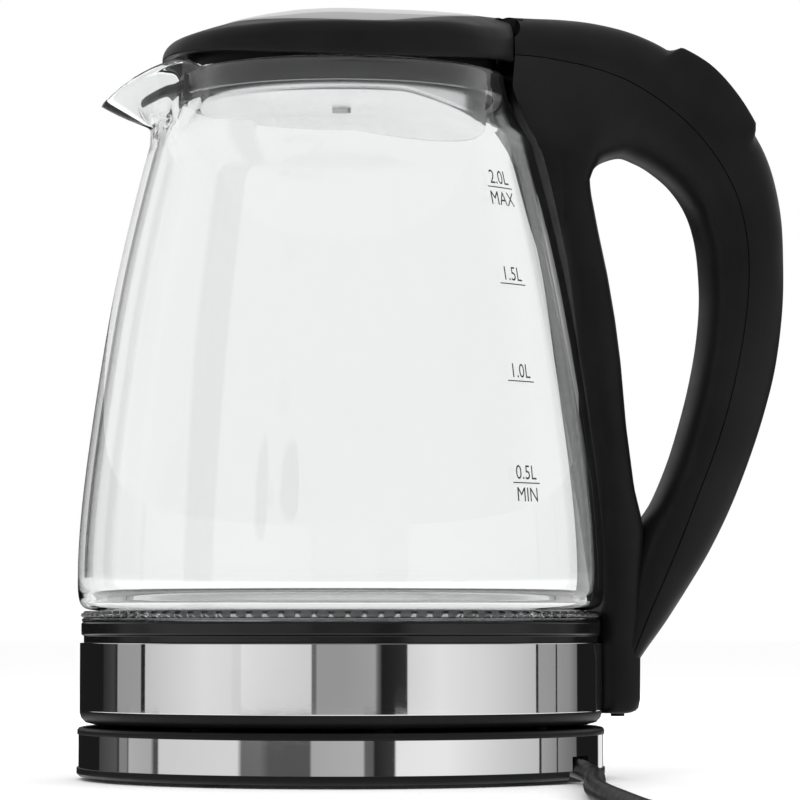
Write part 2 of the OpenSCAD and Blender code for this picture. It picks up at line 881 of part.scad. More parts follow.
base_feet();
base_bottom_cover();
base_trim_band();
base_shell();
base_screws();
base_connector();
base_contacts();
base_leads();
connector_shutter();
cord_gland();
power_cord();
cord_coil();
cord_tail();
cord_tie();
plug_body();
plug_pins();
bottom_housing();
steel_skirt();
middle_ring();
light_ring();
light_board();
kettle_connector();
kettle_contacts();
bimetal_control();
housing_screws();
heater_plate();
heating_element();
jug_seal();
glass_jug();
neck_collar();
spout_filter();
filter_mesh();
handle_spine();
handle_inner_shell();
handle_cover();
handle_screw();
handle_wiring();
steam_duct();
steam_switch();
hinge_pin();
lid_cover();
lid_plate();
lid_pan();
lid_seal();
lid_screw();
lid_spring();
lid_button();
latch();
latch_spring();
switch_rocker();
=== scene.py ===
"""Looks of a glass electric kettle on its power base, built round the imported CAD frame.

Lengths are in millimetres here, in the frame of the CAD part, and raw() turns them into metres.
+Z is up, the handle is at +X and the spout at -X.
"""

import json
import math

import bmesh
import bpy
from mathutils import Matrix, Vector


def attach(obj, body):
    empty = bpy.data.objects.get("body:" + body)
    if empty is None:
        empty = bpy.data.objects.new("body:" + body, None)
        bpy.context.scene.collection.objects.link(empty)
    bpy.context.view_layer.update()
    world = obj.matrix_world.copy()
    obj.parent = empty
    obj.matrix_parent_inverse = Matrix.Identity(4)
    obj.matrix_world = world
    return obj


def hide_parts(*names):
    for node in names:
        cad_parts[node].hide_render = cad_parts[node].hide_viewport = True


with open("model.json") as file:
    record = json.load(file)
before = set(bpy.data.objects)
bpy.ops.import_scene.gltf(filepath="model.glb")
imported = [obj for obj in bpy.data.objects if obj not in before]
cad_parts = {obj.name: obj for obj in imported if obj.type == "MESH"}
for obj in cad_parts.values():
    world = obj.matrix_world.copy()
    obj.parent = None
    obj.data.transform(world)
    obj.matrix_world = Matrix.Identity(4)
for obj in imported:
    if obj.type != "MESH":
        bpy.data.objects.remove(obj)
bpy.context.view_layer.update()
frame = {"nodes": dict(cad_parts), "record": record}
nodes = frame["nodes"]
scene = bpy.context.scene
MM = 0.001

# ---------- sizes shared with the CAD part ----------

SKIRT_R = 82.3
GLASS_R = 83.1
GLASS_WALL = 2.8
GLASS_LOW = 52.8
WIDEST_Z = 65.0
RIM_Z = 221.0
NECK_R = 54.5
LID_R = 57.2
LID_TOP = 243.7
LID_BACK = 50.0
PLATE_R = 41.8
PLATE_X = 2.0
PLATE_PROUD = 0.2
HINGE = (47.0, 238.0)
HINGE_RELIEF = 6.0
POD_AT = (121.5, 225.5)
POD_TILT = math.radians(39.8)
LEAD_D = 6.2
COIL_AT = (103.0, -317.0)
COIL_R = 36.0


# ---------- mesh helpers ----------

def lerp(a, b, t):
    return tuple(x + (y - x) * t for x, y in zip(a, b))


def smooth_step(t):
    t = min(max(t, 0.0), 1.0)
    return t * t * (3 - 2 * t)


def spline(points, steps):
    """Catmull-Rom curve through points, with steps pieces to each span."""
    found = []
    last = len(points) - 1
    for i in range(last):
        a, b, c, d = (points[min(max(i + k, 0), last)] for k in (-1, 0, 1, 2))
        for j in range(steps):
            t = j / steps
            found.append(tuple(
                0.5 * (2 * q + (r - p) * t + (2 * p - 5 * q + 4 * r - s) * t * t
                       + (3 * q - p - 3 * r + s) * t ** 3)
                for p, q, r, s in zip(a, b, c, d)))
    return found + [tuple(points[-1])]


def table(rows, x):
    """Straight-line interpolation in rows of (x, value), clamped at both ends."""
    if x <= rows[0][0]:
        return rows[0][1]
    for (x0, low), (x1, high) in zip(rows, rows[1:]):
        if x <= x1:
            return low + (high - low) * ((x - x0) / (x1 - x0))
    return rows[-1][1]


def loft(rings, closed_path=False):
    """Vertices and quads through closed rings that all have the same number of points."""
    count = len(rings[0])
    verts = [p for ring in rings for p in ring]
    faces = []
    spans = len(rings) if closed_path else len(rings) - 1
    for i in range(spans):
        a, b = i * count, ((i + 1) % len(rings)) * count
        for k in range(count):
            n = (k + 1) % count
            faces.append((a + k, a + n, b + n, b + k))
    return verts, faces


def capped_loft(rings):
    """A loft whose first and last rings are closed by flat faces."""
    verts, faces = loft(rings)
    count = len(rings[0])
    faces.append(tuple(range(count)))
    faces.append(tuple(range(len(verts) - count, len(verts))))
    return verts, faces


def join(verts, faces, shape):
    """Adds a shape's vertices and faces to the ones already there."""
    start = len(verts)
    verts += shape[0]
    faces += [tuple(start + i for i in face) for face in shape[1]]


def strip(steps):
    """Quads of a strip whose vertices go in pairs along it."""
    return [(2 * k, 2 * k + 1, 2 * k + 3, 2 * k + 2) for k in range(steps)]


def around(count):
    """The angles of count equal steps round a full turn."""
    return [2 * math.pi * i / count for i in range(count)]


def turned(r, z, angle):
    """The point at a radius and a height, turned about Z by an angle from +X."""
    return (r * math.cos(angle), r * math.sin(angle), z)


def cap(verts, faces, first, count, columns, fit=None):
    """Closes a ring that mirrors itself in Y with a grid, so that a cap can follow a curved wall."""
    half = count // 2
    rows = []
    for k in range(half):
        a, b = first + k, first + count - 1 - k
        row = [a]
        for j in range(1, columns):
            p = lerp(verts[a], verts[b], j / columns)
            verts.append(fit(p) if fit else p)
            row.append(len(verts) - 1)
        rows.append(row + [b])
    for low, high in zip(rows, rows[1:]):
        for j in range(columns):
            faces.append((low[j], low[j + 1], high[j + 1], high[j]))


def lathe(profile, count):
    """A turned solid: profile is a list of (radius, z)."""
    return loft([[turned(r, z, a) for r, z in profile] for a in around(count)], closed_path=True)


def rounded(profile, radius, steps):
    """A closed outline with its corners rounded, except the ones that hardly turn."""
    found = []
    count = len(profile)
    for i in range(count):
        before, here, after = (Vector(profile[(i + k) % count]) for k in (-1, 0, 1))
        u, v = before - here, after - here
        back, ahead = u.normalized(), v.normalized()
        if back.dot(ahead) < -0.97:
            found.append(tuple(here))
            continue
        bite = min(radius, u.length * 0.45, v.length * 0.45)
        p, q = here + back * bite, here + ahead * bite
        found.append(tuple(p + back * min(0.1, u.length * 0.04)))
        for j in range(steps + 1):
            t = j / steps
            found.append(tuple((1 - t) ** 2 * p + 2 * t * (1 - t) * here + t * t * q))
        found.append(tuple(q + ahead * min(0.1, v.length * 0.04)))
    return found


def finish_mesh(obj, angle):
    """Welds, turns the faces outwards and smooths all but the sharp edges."""
    work = bmesh.new()
    work.from_mesh(obj.data)
    bmesh.ops.remove_doubles(work, verts=work.verts, dist=1e-6)
    bmesh.ops.dissolve_degenerate(work, edges=work.edges, dist=1e-7)
    bmesh.ops.recalc_face_normals(work, faces=work.faces)
    work.to_mesh(obj.data)
    work.free()
    obj.data.polygons.foreach_set("use_smooth", [True] * len(obj.data.polygons))
    obj.data.set_sharp_from_angle(angle=math.radians(angle))


def placed(name, data):
    obj = bpy.data.objects.new(name, data)
    scene.collection.objects.link(obj)
    return obj


def raw(name, shape):
    verts, faces = shape
    mesh = bpy.data.meshes.new(name)
    mesh.from_pydata([tuple(c * MM for c in v) for v in verts], [], faces)
    return placed(name, mesh)


def make(name, shape, body, material, stands_for=(), angle=40):
    """A new piece: it rides on a body, takes a finish and hides the CAD nodes that it stands for."""
    obj = raw(name, shape)
    finish_mesh(obj, angle)
    return dress(obj, body, material, stands_for)


def dress(obj, body, material, stands_for=()):
    obj.data.materials.append(material)
    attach(obj, body)
    if stands_for:
        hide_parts(*stands_for)
    return obj


def cut(obj, cutters):
    """Takes the cutters' space out of obj, and removes them."""
    for cutter in cutters:
        finish_mesh(cutter, 30)
        hole = obj.modifiers.new("cut", "BOOLEAN")
        hole.operation = "DIFFERENCE"
        hole.solver = "EXACT"
        hole.object = cutter
        bpy.context.view_layer.objects.active = obj
        bpy.ops.object.modifier_apply(modifier=hole.name)
        bpy.data.objects.remove(cutter)
    finish_mesh(obj, 40)


def box_shape(low, high):
    (a, b, c), (d, e, f) = low, high
    verts = [(x, y, z) for x in (a, d) for y in (b, e) for z in (c, f)]
    faces = [(0, 1, 3, 2), (4, 6, 7, 5), (0, 4, 5, 1), (2, 3, 7, 6), (0, 2, 6, 4), (1, 5, 7, 3)]
    return verts, faces


# ---------- materials ----------

# The range that a noise texture mostly stays in
NOISE_LOW = 0.3
NOISE_HIGH = 0.7


def fill(node, values):
    for key, value in values.items():
        node.inputs[key.replace("_", " ")].default_value = value


class Nodes:
    """A material round a Principled shader, with a few kinds of unevenness to add to it."""

    def __init__(self, name):
        self.material = bpy.data.materials.new(name)
        self.material.use_nodes = True
        self.tree = self.material.node_tree
        self.link = self.tree.links.new
        self.shader = self.tree.nodes["Principled BSDF"]
        self.place = self.tree.nodes.new("ShaderNodeTexCoord").outputs["Object"]

    def add(self, kind, **values):
        """A new node with values for its inputs, whose names take an underscore for a space."""
        made = self.tree.nodes.new(kind)
        fill(made, values)
        return made

    def set(self, **values):
        fill(self.shader, values)

    def noise(self, scale, detail=4.0, stretch=(1, 1, 1)):
        turn = self.add("ShaderNodeMapping", Scale=stretch)
        made = self.add("ShaderNodeTexNoise", Scale=scale, Detail=detail)
        self.link(self.place, turn.inputs["Vector"])
        self.link(turn.outputs["Vector"], made.inputs["Vector"])
        return made.outputs["Fac"]

    def ramp(self, value, low, high):
        made = self.add("ShaderNodeMapRange", From_Min=NOISE_LOW, From_Max=NOISE_HIGH,
                        To_Min=low, To_Max=high)
        self.link(value, made.inputs["Value"])
        return made.outputs["Result"]

    def tint(self, value, dark, light):
        """A base colour between two colours: sockets 6 and 7 take them and output 2 is the mix."""
        made = self.add("ShaderNodeMix")
        made.data_type = "RGBA"
        made.inputs[6].default_value = (*dark, 1)
        made.inputs[7].default_value = (*light, 1)
        self.link(self.ramp(value, 0.0, 1.0), made.inputs["Factor"])
        self.link(made.outputs[2], self.shader.inputs["Base Color"])

    def rough(self, value, low, high):
        self.link(self.ramp(value, low, high), self.shader.inputs["Roughness"])

    def bump(self, value, depth, strength=1.0):
        """Relief on the surface, with its depth in millimetres."""
        made = self.add("ShaderNodeBump", Distance=depth * MM, Strength=strength)
        self.link(value, made.inputs["Height"])
        self.link(made.outputs["Normal"], self.shader.inputs["Normal"])


# Most kinds take a name, the ends of their colour and roughness, and their relief's scale and depth

def plastic(name, dark, light, low, high, grain, depth, gloss):
    """Moulded plastic: slightly uneven colour and gloss over a fine spark-eroded grain."""
    made = Nodes(name)
    made.tint(made.noise(40), dark, light)
    made.rough(made.noise(90, 6), low, high)
    made.bump(made.noise(grain, 3), depth)
    made.set(Specular_IOR_Level=gloss)
    return made.material


def metal(name, dark, light, low, high, stretch=(1, 1, 1), grain=900, depth=0.002):
    """Steel or brass: drawn or polished along one direction."""
    made = Nodes(name)
    made.tint(made.noise(25), dark, light)
    brushed = made.noise(grain, 5, stretch)
    made.rough(brushed, low, high)
    made.bump(brushed, depth, 0.5)
    made.set(Metallic=1.0)
    return made.material


def clear(name, color, low, high, ior, wave, depth):
    """Glass or clear acrylic, with the faint waviness of a pressed wall."""
    made = Nodes(name)
    made.tint(made.noise(12), color, tuple(min(1.0, c * 1.01) for c in color))
    made.rough(made.noise(30), low, high)
    made.bump(made.noise(wave, 1), depth)
    made.set(Transmission_Weight=1.0, IOR=ior)
    return made.material


def soft(name, dark, light, low, high, grain, depth, gloss=0.3):
    """Rubber, silicone or PVC."""
    made = Nodes(name)
    made.tint(made.noise(60), dark, light)
    made.rough(made.noise(150, 5), low, high)
    made.bump(made.noise(grain, 4), depth)
    made.set(Specular_IOR_Level=gloss)
    return made.material


BLACK_SCREW = metal("black_oxide", (0.012, 0.012, 0.013), (0.020, 0.020, 0.021), 0.35, 0.45)
BLACK = plastic("moulded_black", (0.0055, 0.0055, 0.006), (0.0085, 0.0085, 0.009),
                0.36, 0.46, 2600, 0.004, 0.14)
GLOSS = plastic("smooth_black", (0.004, 0.004, 0.0045), (0.006, 0.006, 0.0065),
                0.16, 0.24, 900, 0.0002, 0.4)
NYLON = plastic("natural_nylon", (0.55, 0.54, 0.50), (0.64, 0.63, 0.59), 0.4, 0.5, 1500, 0.004, 0.4)
BOARD = plastic("circuit_board", (0.02, 0.12, 0.05), (0.03, 0.16, 0.07), 0.3, 0.4, 1200, 0.003, 0.5)
MIRROR = metal("polished_steel", (0.80, 0.80, 0.81), (0.84, 0.84, 0.845),
               0.025, 0.05, (1, 1, 8), 300, 0.0002)
PLATE = metal("polished_plate", (0.80, 0.80, 0.81), (0.84, 0.84, 0.845),
              0.05, 0.09, (1, 12, 1), 400, 0.0004)
BRUSHED = metal("brushed_steel", (0.62, 0.62, 0.63), (0.70, 0.70, 0.71),
                0.16, 0.26, (1, 1, 14), 700, 0.001)
SPRING = metal("spring_steel", (0.42, 0.42, 0.43), (0.52, 0.52, 0.53), 0.25, 0.35)
SCREW = metal("zinc_plate", (0.50, 0.50, 0.50), (0.62, 0.62, 0.63), 0.28, 0.4)
BRASS = metal("plain_brass", (0.62, 0.42, 0.16), (0.74, 0.54, 0.24), 0.2, 0.32)
ELEMENT = metal("heat_tinted_sheath", (0.26, 0.21, 0.17), (0.40, 0.34, 0.28), 0.35, 0.5)
GLASS = clear("clear_glass", (0.925, 0.932, 0.930), 0.0, 0.004, 1.48, 14, 0.02)
ACRYLIC = clear("clear_acrylic", (0.95, 0.97, 0.975), 0.03, 0.07, 1.49, 60, 0.02)
# The light ring's clear acrylic, tinted grey: painted shade that darkens the beads
PAINTED_SHADE_ACRYLIC = clear("beaded_acrylic", (0.50, 0.51, 0.52), 0.03, 0.08, 1.49, 60, 0.02)
RUBBER = soft("black_rubber", (0.010, 0.010, 0.010), (0.018, 0.018, 0.018), 0.6, 0.75, 1800, 0.01)
SILICONE = soft("pale_silicone", (0.62, 0.62, 0.60), (0.72, 0.72, 0.70), 0.4, 0.5, 1200, 0.004)
PVC = soft("lead_sheath", (0.005, 0.005, 0.0055), (0.009, 0.009, 0.0095), 0.38, 0.48, 1400, 0.003, 0.1)
WIRE = soft("wire_sleeve", (0.30, 0.03, 0.02), (0.40, 0.05, 0.03), 0.4, 0.5, 1400, 0.003)
INK = plastic("printed_grey", (0.022, 0.022, 0.024), (0.035, 0.035, 0.037), 0.4, 0.55, 3000, 0.001, 0.3)

FINISHES = {
    "black_plastic": BLACK, "gloss_black": GLOSS, "polished_steel": MIRROR,
    "brushed_steel": BRUSHED, "clear_glass": GLASS, "clear_plastic": ACRYLIC,
    "rubber": RUBBER, "silicone": SILICONE, "cord_pvc": PVC, "brass": BRASS,
    "spring_steel": SPRING, "zinc_screw": SCREW, "nylon": NYLON,
    "circuit_board": BOARD, "element_sheath": ELEMENT, "wire_red": WIRE,
}


def dress_cad_nodes():
    """Every CAD node takes the procedural finish of its slot in the record."""
    for part in frame["record"]["subparts"]:
        obj = nodes[part["node"]]
        obj.data.materials.clear()
        obj.data.materials.append(FINISHES[part["material_slot"]])
    nodes["handle_screw"].data.materials[0] = BLACK_SCREW


def soften_cad_node(name, width):
    """Rounds the sharp edges of a CAD node that stays in view."""
    obj = nodes[name]
    weld = obj.modifiers.new("weld", "WELD")
    weld.merge_threshold = 1e-6
    bevel = obj.modifiers.new("soft_edges", "BEVEL")
    bevel.width = width * MM
    bevel.segments = 2
    bevel.limit_method = "ANGLE"
    bevel.angle_limit = math.radians(35)
    bevel.harden_normals = True


# ---------- camera, floor and light ----------

CAMERA_AT = (-0.1988, -1.1276, 0.046)
CAMERA_PITCH = 93.68
CAMERA_YAW = -10.93
CAMERA_LENS = 162.5


def add_camera():
    data = bpy.data.cameras.new("camera")
    data.lens = CAMERA_LENS
    data.sensor_width = 36
    data.clip_start = 0.01
    data.clip_end = 20
    scene.camera = placed("camera", data)
    scene.camera.location = CAMERA_AT
    scene.camera.rotation_euler = (math.radians(CAMERA_PITCH), 0, math.radians(CAMERA_YAW))


def glow(name, strength):
    made = Nodes(name)
    light = made.add("ShaderNodeEmission", Color=(1, 1, 1, 1), Strength=strength)
    made.link(light.outputs[0], made.tree.nodes["Material Output"].inputs["Surface"])
    made.tree.nodes.remove(made.shader)
    return made


def add_floor():
    half = 30000.0
    corners = [(-half, -half, 0), (half, -half, 0), (half, half, 0), (-half, half, 0)]
    obj = raw("floor", (corners, [(0, 1, 2, 3)]))
    made = Nodes("pale_floor")
    made.tint(made.noise(3), (0.97, 0.97, 0.97), (0.985, 0.985, 0.985))
    made.set(Roughness=0.8, Specular_IOR_Level=0.1)
    obj.data.materials.append(made.material)
    obj.visible_glossy = False


CAMERA_SIDE = -10.0
CARD_R = 1600.0
CARD_LOW = -15.0
CARD_HIGH = 330.0
CEILING = 1050.0
# Studio cards: an angle from the camera's side to the right, and how bright the card is there.
# The skirt shows the middle ring of cards, the base's band the low one and the lid the high one.
MIDDLE_CARDS = [
    (-180, 0.012), (-125, 0.012), (-124, 0.03), (-115, 0.06), (-112, 0.02), (-111.5, 0.36),
    (-95, 0.37), (-94.5, 0.02), (-92.2, 0.02), (-92, 0.62), (-60, 0.83), (-47, 0.80), (-46, 0.75),
    (-43, 0.75), (-42, 0.86), (-12.5, 0.73), (-12, 0.15), (-10.5, 0.15), (-10, 0.36), (2, 0.36),
    (14, 0.40), (15, 0.18), (17, 0.015), (27.5, 0.03), (28, 0.78), (42, 0.89), (62, 0.78),
    (91.5, 0.57), (91.6, 0.02), (93, 0.02), (93.1, 0.37), (105, 0.34), (105.1, 0.02), (106.1, 0.02),
    (106.2, 0.34), (116, 0.30), (123, 0.18), (123.5, 0.012), (154, 0.012), (155, 0.03), (168, 0.03),
    (169, 0.012), (180, 0.012),
]
LOW_CARDS = [
    (-180, 0.012), (-128, 0.012), (-127, 0.06), (-112, 0.10), (-110, 0.03), (-109, 0.25), (-104, 0.25),
    (-103, 0.1), (-102, 0.5), (-88, 0.45), (-86, 0.08), (-84, 0.08), (-83, 0.72), (-44, 0.78), (-42, 0.16),
    (-34, 0.17), (-30, 0.10), (-13, 0.10), (-12, 0.45), (9, 0.50), (10, 0.13), (13, 0.12), (14, 0.02),
    (22, 0.05), (23, 0.92), (45, 0.95), (75, 0.7), (93, 0.6), (93.1, 0.03), (94.5, 0.03), (94.6, 0.4),
    (105, 0.30), (105.1, 0.03), (106, 0.03), (106.1, 0.27), (121, 0.16), (122, 0.012), (150, 0.012),
    (152, 0.9), (164, 0.9), (165, 0.012), (180, 0.012),
]
HIGH_CARDS = [(-180, 0.72), (-100, 0.72), (-80, 0.16), (80, 0.16), (100, 0.72), (180, 0.72)]


def card_edge(angle, low, high):
    """The two ends of an upright edge of a card, at an angle from the camera's side."""
    turn = math.radians(-90 + CAMERA_SIDE + angle)
    return [turned(CARD_R, z, turn) for z in (low, high)]


def add_card(name, shape, made, through_glass=False):
    """A card that shows only in reflections, or only through glass."""
    obj = raw(name, shape)
    obj.data.materials.append(made.material)
    obj.visible_camera = False
    obj.visible_diffuse = False
    obj.visible_shadow = False
    obj.visible_glossy = not through_glass
    obj.visible_transmission = through_glass
    return obj


def add_cards(name, stops, low, high):
    """A ring of studio cards with soft steps in brightness."""
    verts, faces, shades = [], [], []
    for (start, first), (end, second) in zip(stops, stops[1:]):
        steps = max(1, int((end - start) / 2))
        edges = [card_edge(start + (end - start) * k / steps, low, high) for k in range(steps + 1)]
        join(verts, faces, ([p for edge in edges for p in edge], strip(steps)))
        for k in range(steps + 1):
            shades += [first + (second - first) * k / steps] * 2
    made = glow(name, 1.0)
    painted = made.add("ShaderNodeVertexColor")
    painted.layer_name = "shade"
    made.link(painted.outputs["Color"], made.tree.nodes["Emission"].inputs["Color"])
    card = add_card(name, (verts, faces), made)
    layer = card.data.color_attributes.new("shade", "FLOAT_COLOR", "POINT")
    for spot, shade in zip(layer.data, shades):
        spot.color = (shade, shade, shade, 1)


def add_flags(near, far, strength):
    """Two dark cards behind the jug, out of view, which draw dark lines down the edges of the glass."""
    steps = 5
    for name, side in (("left_flag", -1), ("right_flag", 1)):
        verts = []
        for k in range(steps + 1):
            verts += card_edge(side * (near + (far - near) * k / steps), -100, 900)
        add_card(name, (verts, strip(steps)), glow(name, strength), through_glass=True)


def add_ceiling(strength):
    rim = [turned(CARD_R, CEILING, a) for a in around(48)]
    add_card("ceiling_card", (rim, [tuple(range(len(rim)))]), glow("ceiling_card", strength))


def add_light():
    world = bpy.data.worlds.new("studio")
    scene.world = world
    world.use_nodes = True
    fill(world.node_tree.nodes["Background"], {"Color": (1, 1, 1, 1), "Strength": 1.0})
    aim = Vector((0, 0, 0.12))
    for name, at, size, power in (
        ("key", (-0.9, -1.1, 1.3), 0.9, 9.0),
        ("fill", (1.2, -0.8, 0.9), 0.8, 5.0),
        ("back", (0.3, 1.3, 1.2), 1.0, 6.0),
    ):
        data = bpy.data.lights.new(name, "AREA")
        data.size = size
        data.energy = power
        obj = placed(name, data)
        obj.location = at
        obj.visible_glossy = False
        obj.visible_transmission = False
        obj.rotation_euler = (aim - Vector(at)).to_track_quat("-Z", "Y").to_euler()
    scene.view_settings.view_transform = "Standard"
    scene.view_settings.look = "None"


# ---------- mains lead ----------

LEAD_ROUTE = [
    (61.8, -27.7, 6), (63.6, -39, 5.2), (65, -51, 4.3), (64.4, -66, 3.5), (60.5, -88, 3.1),
    (54.5, -112, 3.1), (48, -137, 3.1), (42.5, -162, 3.1), (38, -187, 3.1), (34, -212, 3.1),
    (30.5, -237, 3.1), (27, -262, 3.1), (24, -285, 3.1), (23, -302, 3.1), (26, -318, 3.1),
    (34.5, -332.5, 3.1), (47, -342.5, 3.1), (62, -347.5, 3.1), (78, -350, 3.1), (96.7, -352.5, 3.1),
]
TAIL_ROUTE = [
    (138.5, -323.3, 9.5), (140.5, -312, 10), (142.5, -300, 12), (144.6, -288, 15.5), (146.3, -278, 18),
    (148, -268, 19),
]
# The coil's angles in degrees, and the heights of its first turn and the one that climbs onto it
COIL_START = 260.0
COIL_TURNS = 460.0
COIL_STEP = 12.0
CLIMB_START = 300.0
CLIMB_LENGTH = 55.0
LOW_TURN = 3.1
HIGH_TURN = 9.4


def coil_point(angle):
    """A point on the coil, which turns anticlockwise seen from above and climbs onto itself."""
    rise = smooth_step((angle - COIL_START - CLIMB_START) / CLIMB_LENGTH)
    a = math.radians(angle)
    return (COIL_AT[0] + COIL_R * math.cos(a), COIL_AT[1] + COIL_R * math.sin(a),
            LOW_TURN + (HIGH_TURN - LOW_TURN) * rise)


def add_lead():
    steps = int(COIL_TURNS / COIL_STEP)
    coil = [coil_point(COIL_START + COIL_TURNS * i / steps) for i in range(1, steps)]
    route = spline(LEAD_ROUTE + coil + TAIL_ROUTE, 3)
    curve = bpy.data.curves.new("mains_lead", "CURVE")
    curve.dimensions = "3D"
    curve.bevel_depth = LEAD_D / 2 * MM
    curve.bevel_resolution = 5
    curve.use_fill_caps = True
    line = curve.splines.new("POLY")
    line.points.add(len(route) - 1)
    for point, (x, y, z) in zip(line.points, route):
        point.co = (x * MM, y * MM, z * MM, 1)
    line.use_smooth = True
    lead = placed("mains_lead", curve)
    lead.visible_glossy = False
    dress(lead, "base", PVC, ["power_cord", "cord_coil", "cord_tail"])
    for name in ("plug_body", "plug_pins", "cord_tie"):
        nodes[name].visible_glossy = False


# ---------- glass jug ----------

# The belly draws in over a height along a power curve, with a slight dip midway
BELLY_RISE = 130.6
BELLY_DRAW = 20.8
BELLY_POWER = 1.65
BELLY_DIP = 0.6
BELLY_DIP_END = 0.8


def belly(z):
    """Outer radius of the glass above its widest point."""
    rise = max(z - WIDEST_Z, 0) / BELLY_RISE
    dip = BELLY_DIP * math.sin(math.pi * min(rise / BELLY_DIP_END, 1.0)) ** 2
    return GLASS_R - BELLY_DRAW * rise ** BELLY_POWER - dip


SHOULDER_Z = 200.0
NECK_ROOT = (60.4, 201.5)
NECK_OUTSIDE = [NECK_ROOT, (58, 205.5), (56, 209.7), (54.8, 214), (NECK_R, 217.5), (NECK_R, RIM_Z)]
FOOT_OUTSIDE = [(77, GLASS_LOW), (80.4, 53.4), (82.2, 55), (82.9, 57.8), (GLASS_R, 61),
                (GLASS_R, WIDEST_Z)]
FOOT_INSIDE = [(74.2, GLASS_LOW), (78.0, 54.6), (79.7, 57.6), (80.2, 61), (80.3, WIDEST_Z)]
# Angle from the spout's middle and the radius of the lip, outside and inside
LIP_OUTSIDE = [(0, 76.9), (1, 76.7), (2, 75.9), (3.6, 73.1), (6.4, 68.4), (10.8, 63.1), (16.1, 58.3),
               (20, 55.6), (24, NECK_R)]
LIP_INSIDE = [(0, 74.8), (0.8, 74.4), (1.8, 73), (4.4, 68.2), (8.6, 62.7), (13.8, 57.4), (18, 53.4),
              (23, 51.7)]
# Radius and height of the lip's edge
LIP_HEIGHT = [(50, 224.6), (56, 224.5), (60, 223.3), (64.5, 221.2), (69, 218.4), (73, 215), (76, 212),
              (77, 211.2)]
# The glass's rounded top edge: the share of the way across the wall, and how high it is there
EDGE_ROUND = [(0.12, 0.45), (0.35, 0.8), (0.65, 0.8), (0.88, 0.45)]


def neck_curve(angle, inside):
    """The glass from the shoulder up to its edge, at an angle from the spout's middle."""
    steps = 14
    shift = GLASS_WALL if inside else 0.0
    plain = [(r - shift, z) for r, z in spline(NECK_OUTSIDE, 4)]
    # 1 in the beak and 0 in the plain neck
    share = 1 - smooth_step((angle - 15) / 12)
    reach = table(LIP_INSIDE if inside else LIP_OUTSIDE, angle)
    edge = (reach, table(LIP_HEIGHT, reach) if share > 0 else RIM_Z)
    # The beak is a curve from its root to the lip's edge, pulled outwards low down
    raised, lift = (4.4, 0.43) if inside else (3.4, 0.40)
    root = (NECK_ROOT[0] + 0.5 * share - shift, NECK_ROOT[1] + raised * share)
    pull = (root[0] + 0.56 * (edge[0] - root[0]), root[1] + lift * (edge[1] - root[1]))
    found = []
    for i in range(steps + 1):
        t = i / steps
        beak = tuple((1 - t) ** 2 * a + 2 * t * (1 - t) * b + t * t * c
                     for a, b, c in zip(root, pull, edge))
        place = t * (len(plain) - 1)
        low = min(int(place), len(plain) - 2)
        neck = lerp(plain[low], plain[low + 1], place - low)
        found.append(lerp(neck, beak, share))
    return found


def glass_section(angle):
    """Closed outline of the glass wall at an angle from the spout's middle."""
    heights = [WIDEST_Z + 3.0 * k for k in range(1, 45)] + [SHOULDER_Z]
    outside = spline(FOOT_OUTSIDE, 3) + [(belly(z), z) for z in heights]
    outside += neck_curve(angle, False)
    inside = spline(FOOT_INSIDE, 3) + [(belly(z) - GLASS_WALL, z) for z in heights]
    inside += neck_curve(angle, True)
    edge = []
    for t, up in EDGE_ROUND:
        r, z = lerp(outside[-1], inside[-1], t)
        edge.append((r, z + up))
    return outside + edge + inside[::-1]


def add_glass():
    half = [0.75 * k for k in range(41)] + [30 + 3.0 * k for k in range(1, 51)]
    angles = [180 - a for a in half] + [180 + a for a in half[-2:0:-1]]
    rings = []
    for angle in angles:
        section = glass_section(abs(180 - angle))
        rings.append([turned(r, z, math.radians(angle)) for r, z in section])
    make("glass_wall", loft(rings, closed_path=True), "kettle", GLASS, ["glass_jug"],
         angle=60)


# Height of each capacity mark's number, its angle from +X, the number and the word below its line
LEVEL_MARKS = [(183.3, -52.1, "2.0L", "MAX"), (153.0, -53.6, "1.5L", ""), (123.0, -55.1, "1.0L", ""),
               (92.0, -56.6, "0.5L", "MIN")]
MARK_HEIGHT = 4.3
MARK_WORD_GAP = 2.4
# The line under a number: half its length, and how far its edges are below the number
MARK_LINE = 5.8
LINE_LOW = 1.3
LINE_HIGH = 0.95
# The share of a font's size that its capitals take, and how narrow the letters are made
CAPITALS = 0.7
LETTER_WIDTH = 0.85
INK_OFF = 0.03


def flat_text(word, low, verts, faces):
    """Adds a word as a flat mesh, centred, with its foot at the given height."""
    curve = bpy.data.curves.new("ink", "FONT")
    curve.body = word
    curve.align_x = "CENTER"
    curve.size = MARK_HEIGHT / CAPITALS
    curve.resolution_u = 3
    text = placed("ink", curve)
    bpy.context.view_layer.update()
    flat = text.evaluated_get(bpy.context.evaluated_depsgraph_get()).to_mesh()
    letters = [(v.co.x * LETTER_WIDTH, low + v.co.y) for v in flat.vertices]
    join(verts, faces, (letters, [tuple(p.vertices) for p in flat.polygons]))
    bpy.data.objects.remove(text)


def add_level_marks():
    """Printed capacity marks, as thin ink that follows the glass."""
    verts, faces = [], []
    steps = 12
    for low, turn, number, word in LEVEL_MARKS:
        flat_verts, flat_faces = [], []
        flat_text(number, low, flat_verts, flat_faces)
        if word:
            flat_text(word, low - MARK_WORD_GAP - MARK_HEIGHT, flat_verts, flat_faces)
        line = []
        for i in range(steps + 1):
            x = -MARK_LINE + 2 * MARK_LINE * i / steps
            line += [(x, low - LINE_LOW), (x, low - LINE_HIGH)]
        join(flat_verts, flat_faces, (line, strip(steps)))
        bent = []
        for x, z in flat_verts:
            r = belly(z) + INK_OFF
            bent.append(turned(r, z, math.radians(turn) + x / r))
        join(verts, faces, (bent, flat_faces))
    make("level_marks", (verts, faces), "kettle", INK)


# ---------- lid ----------

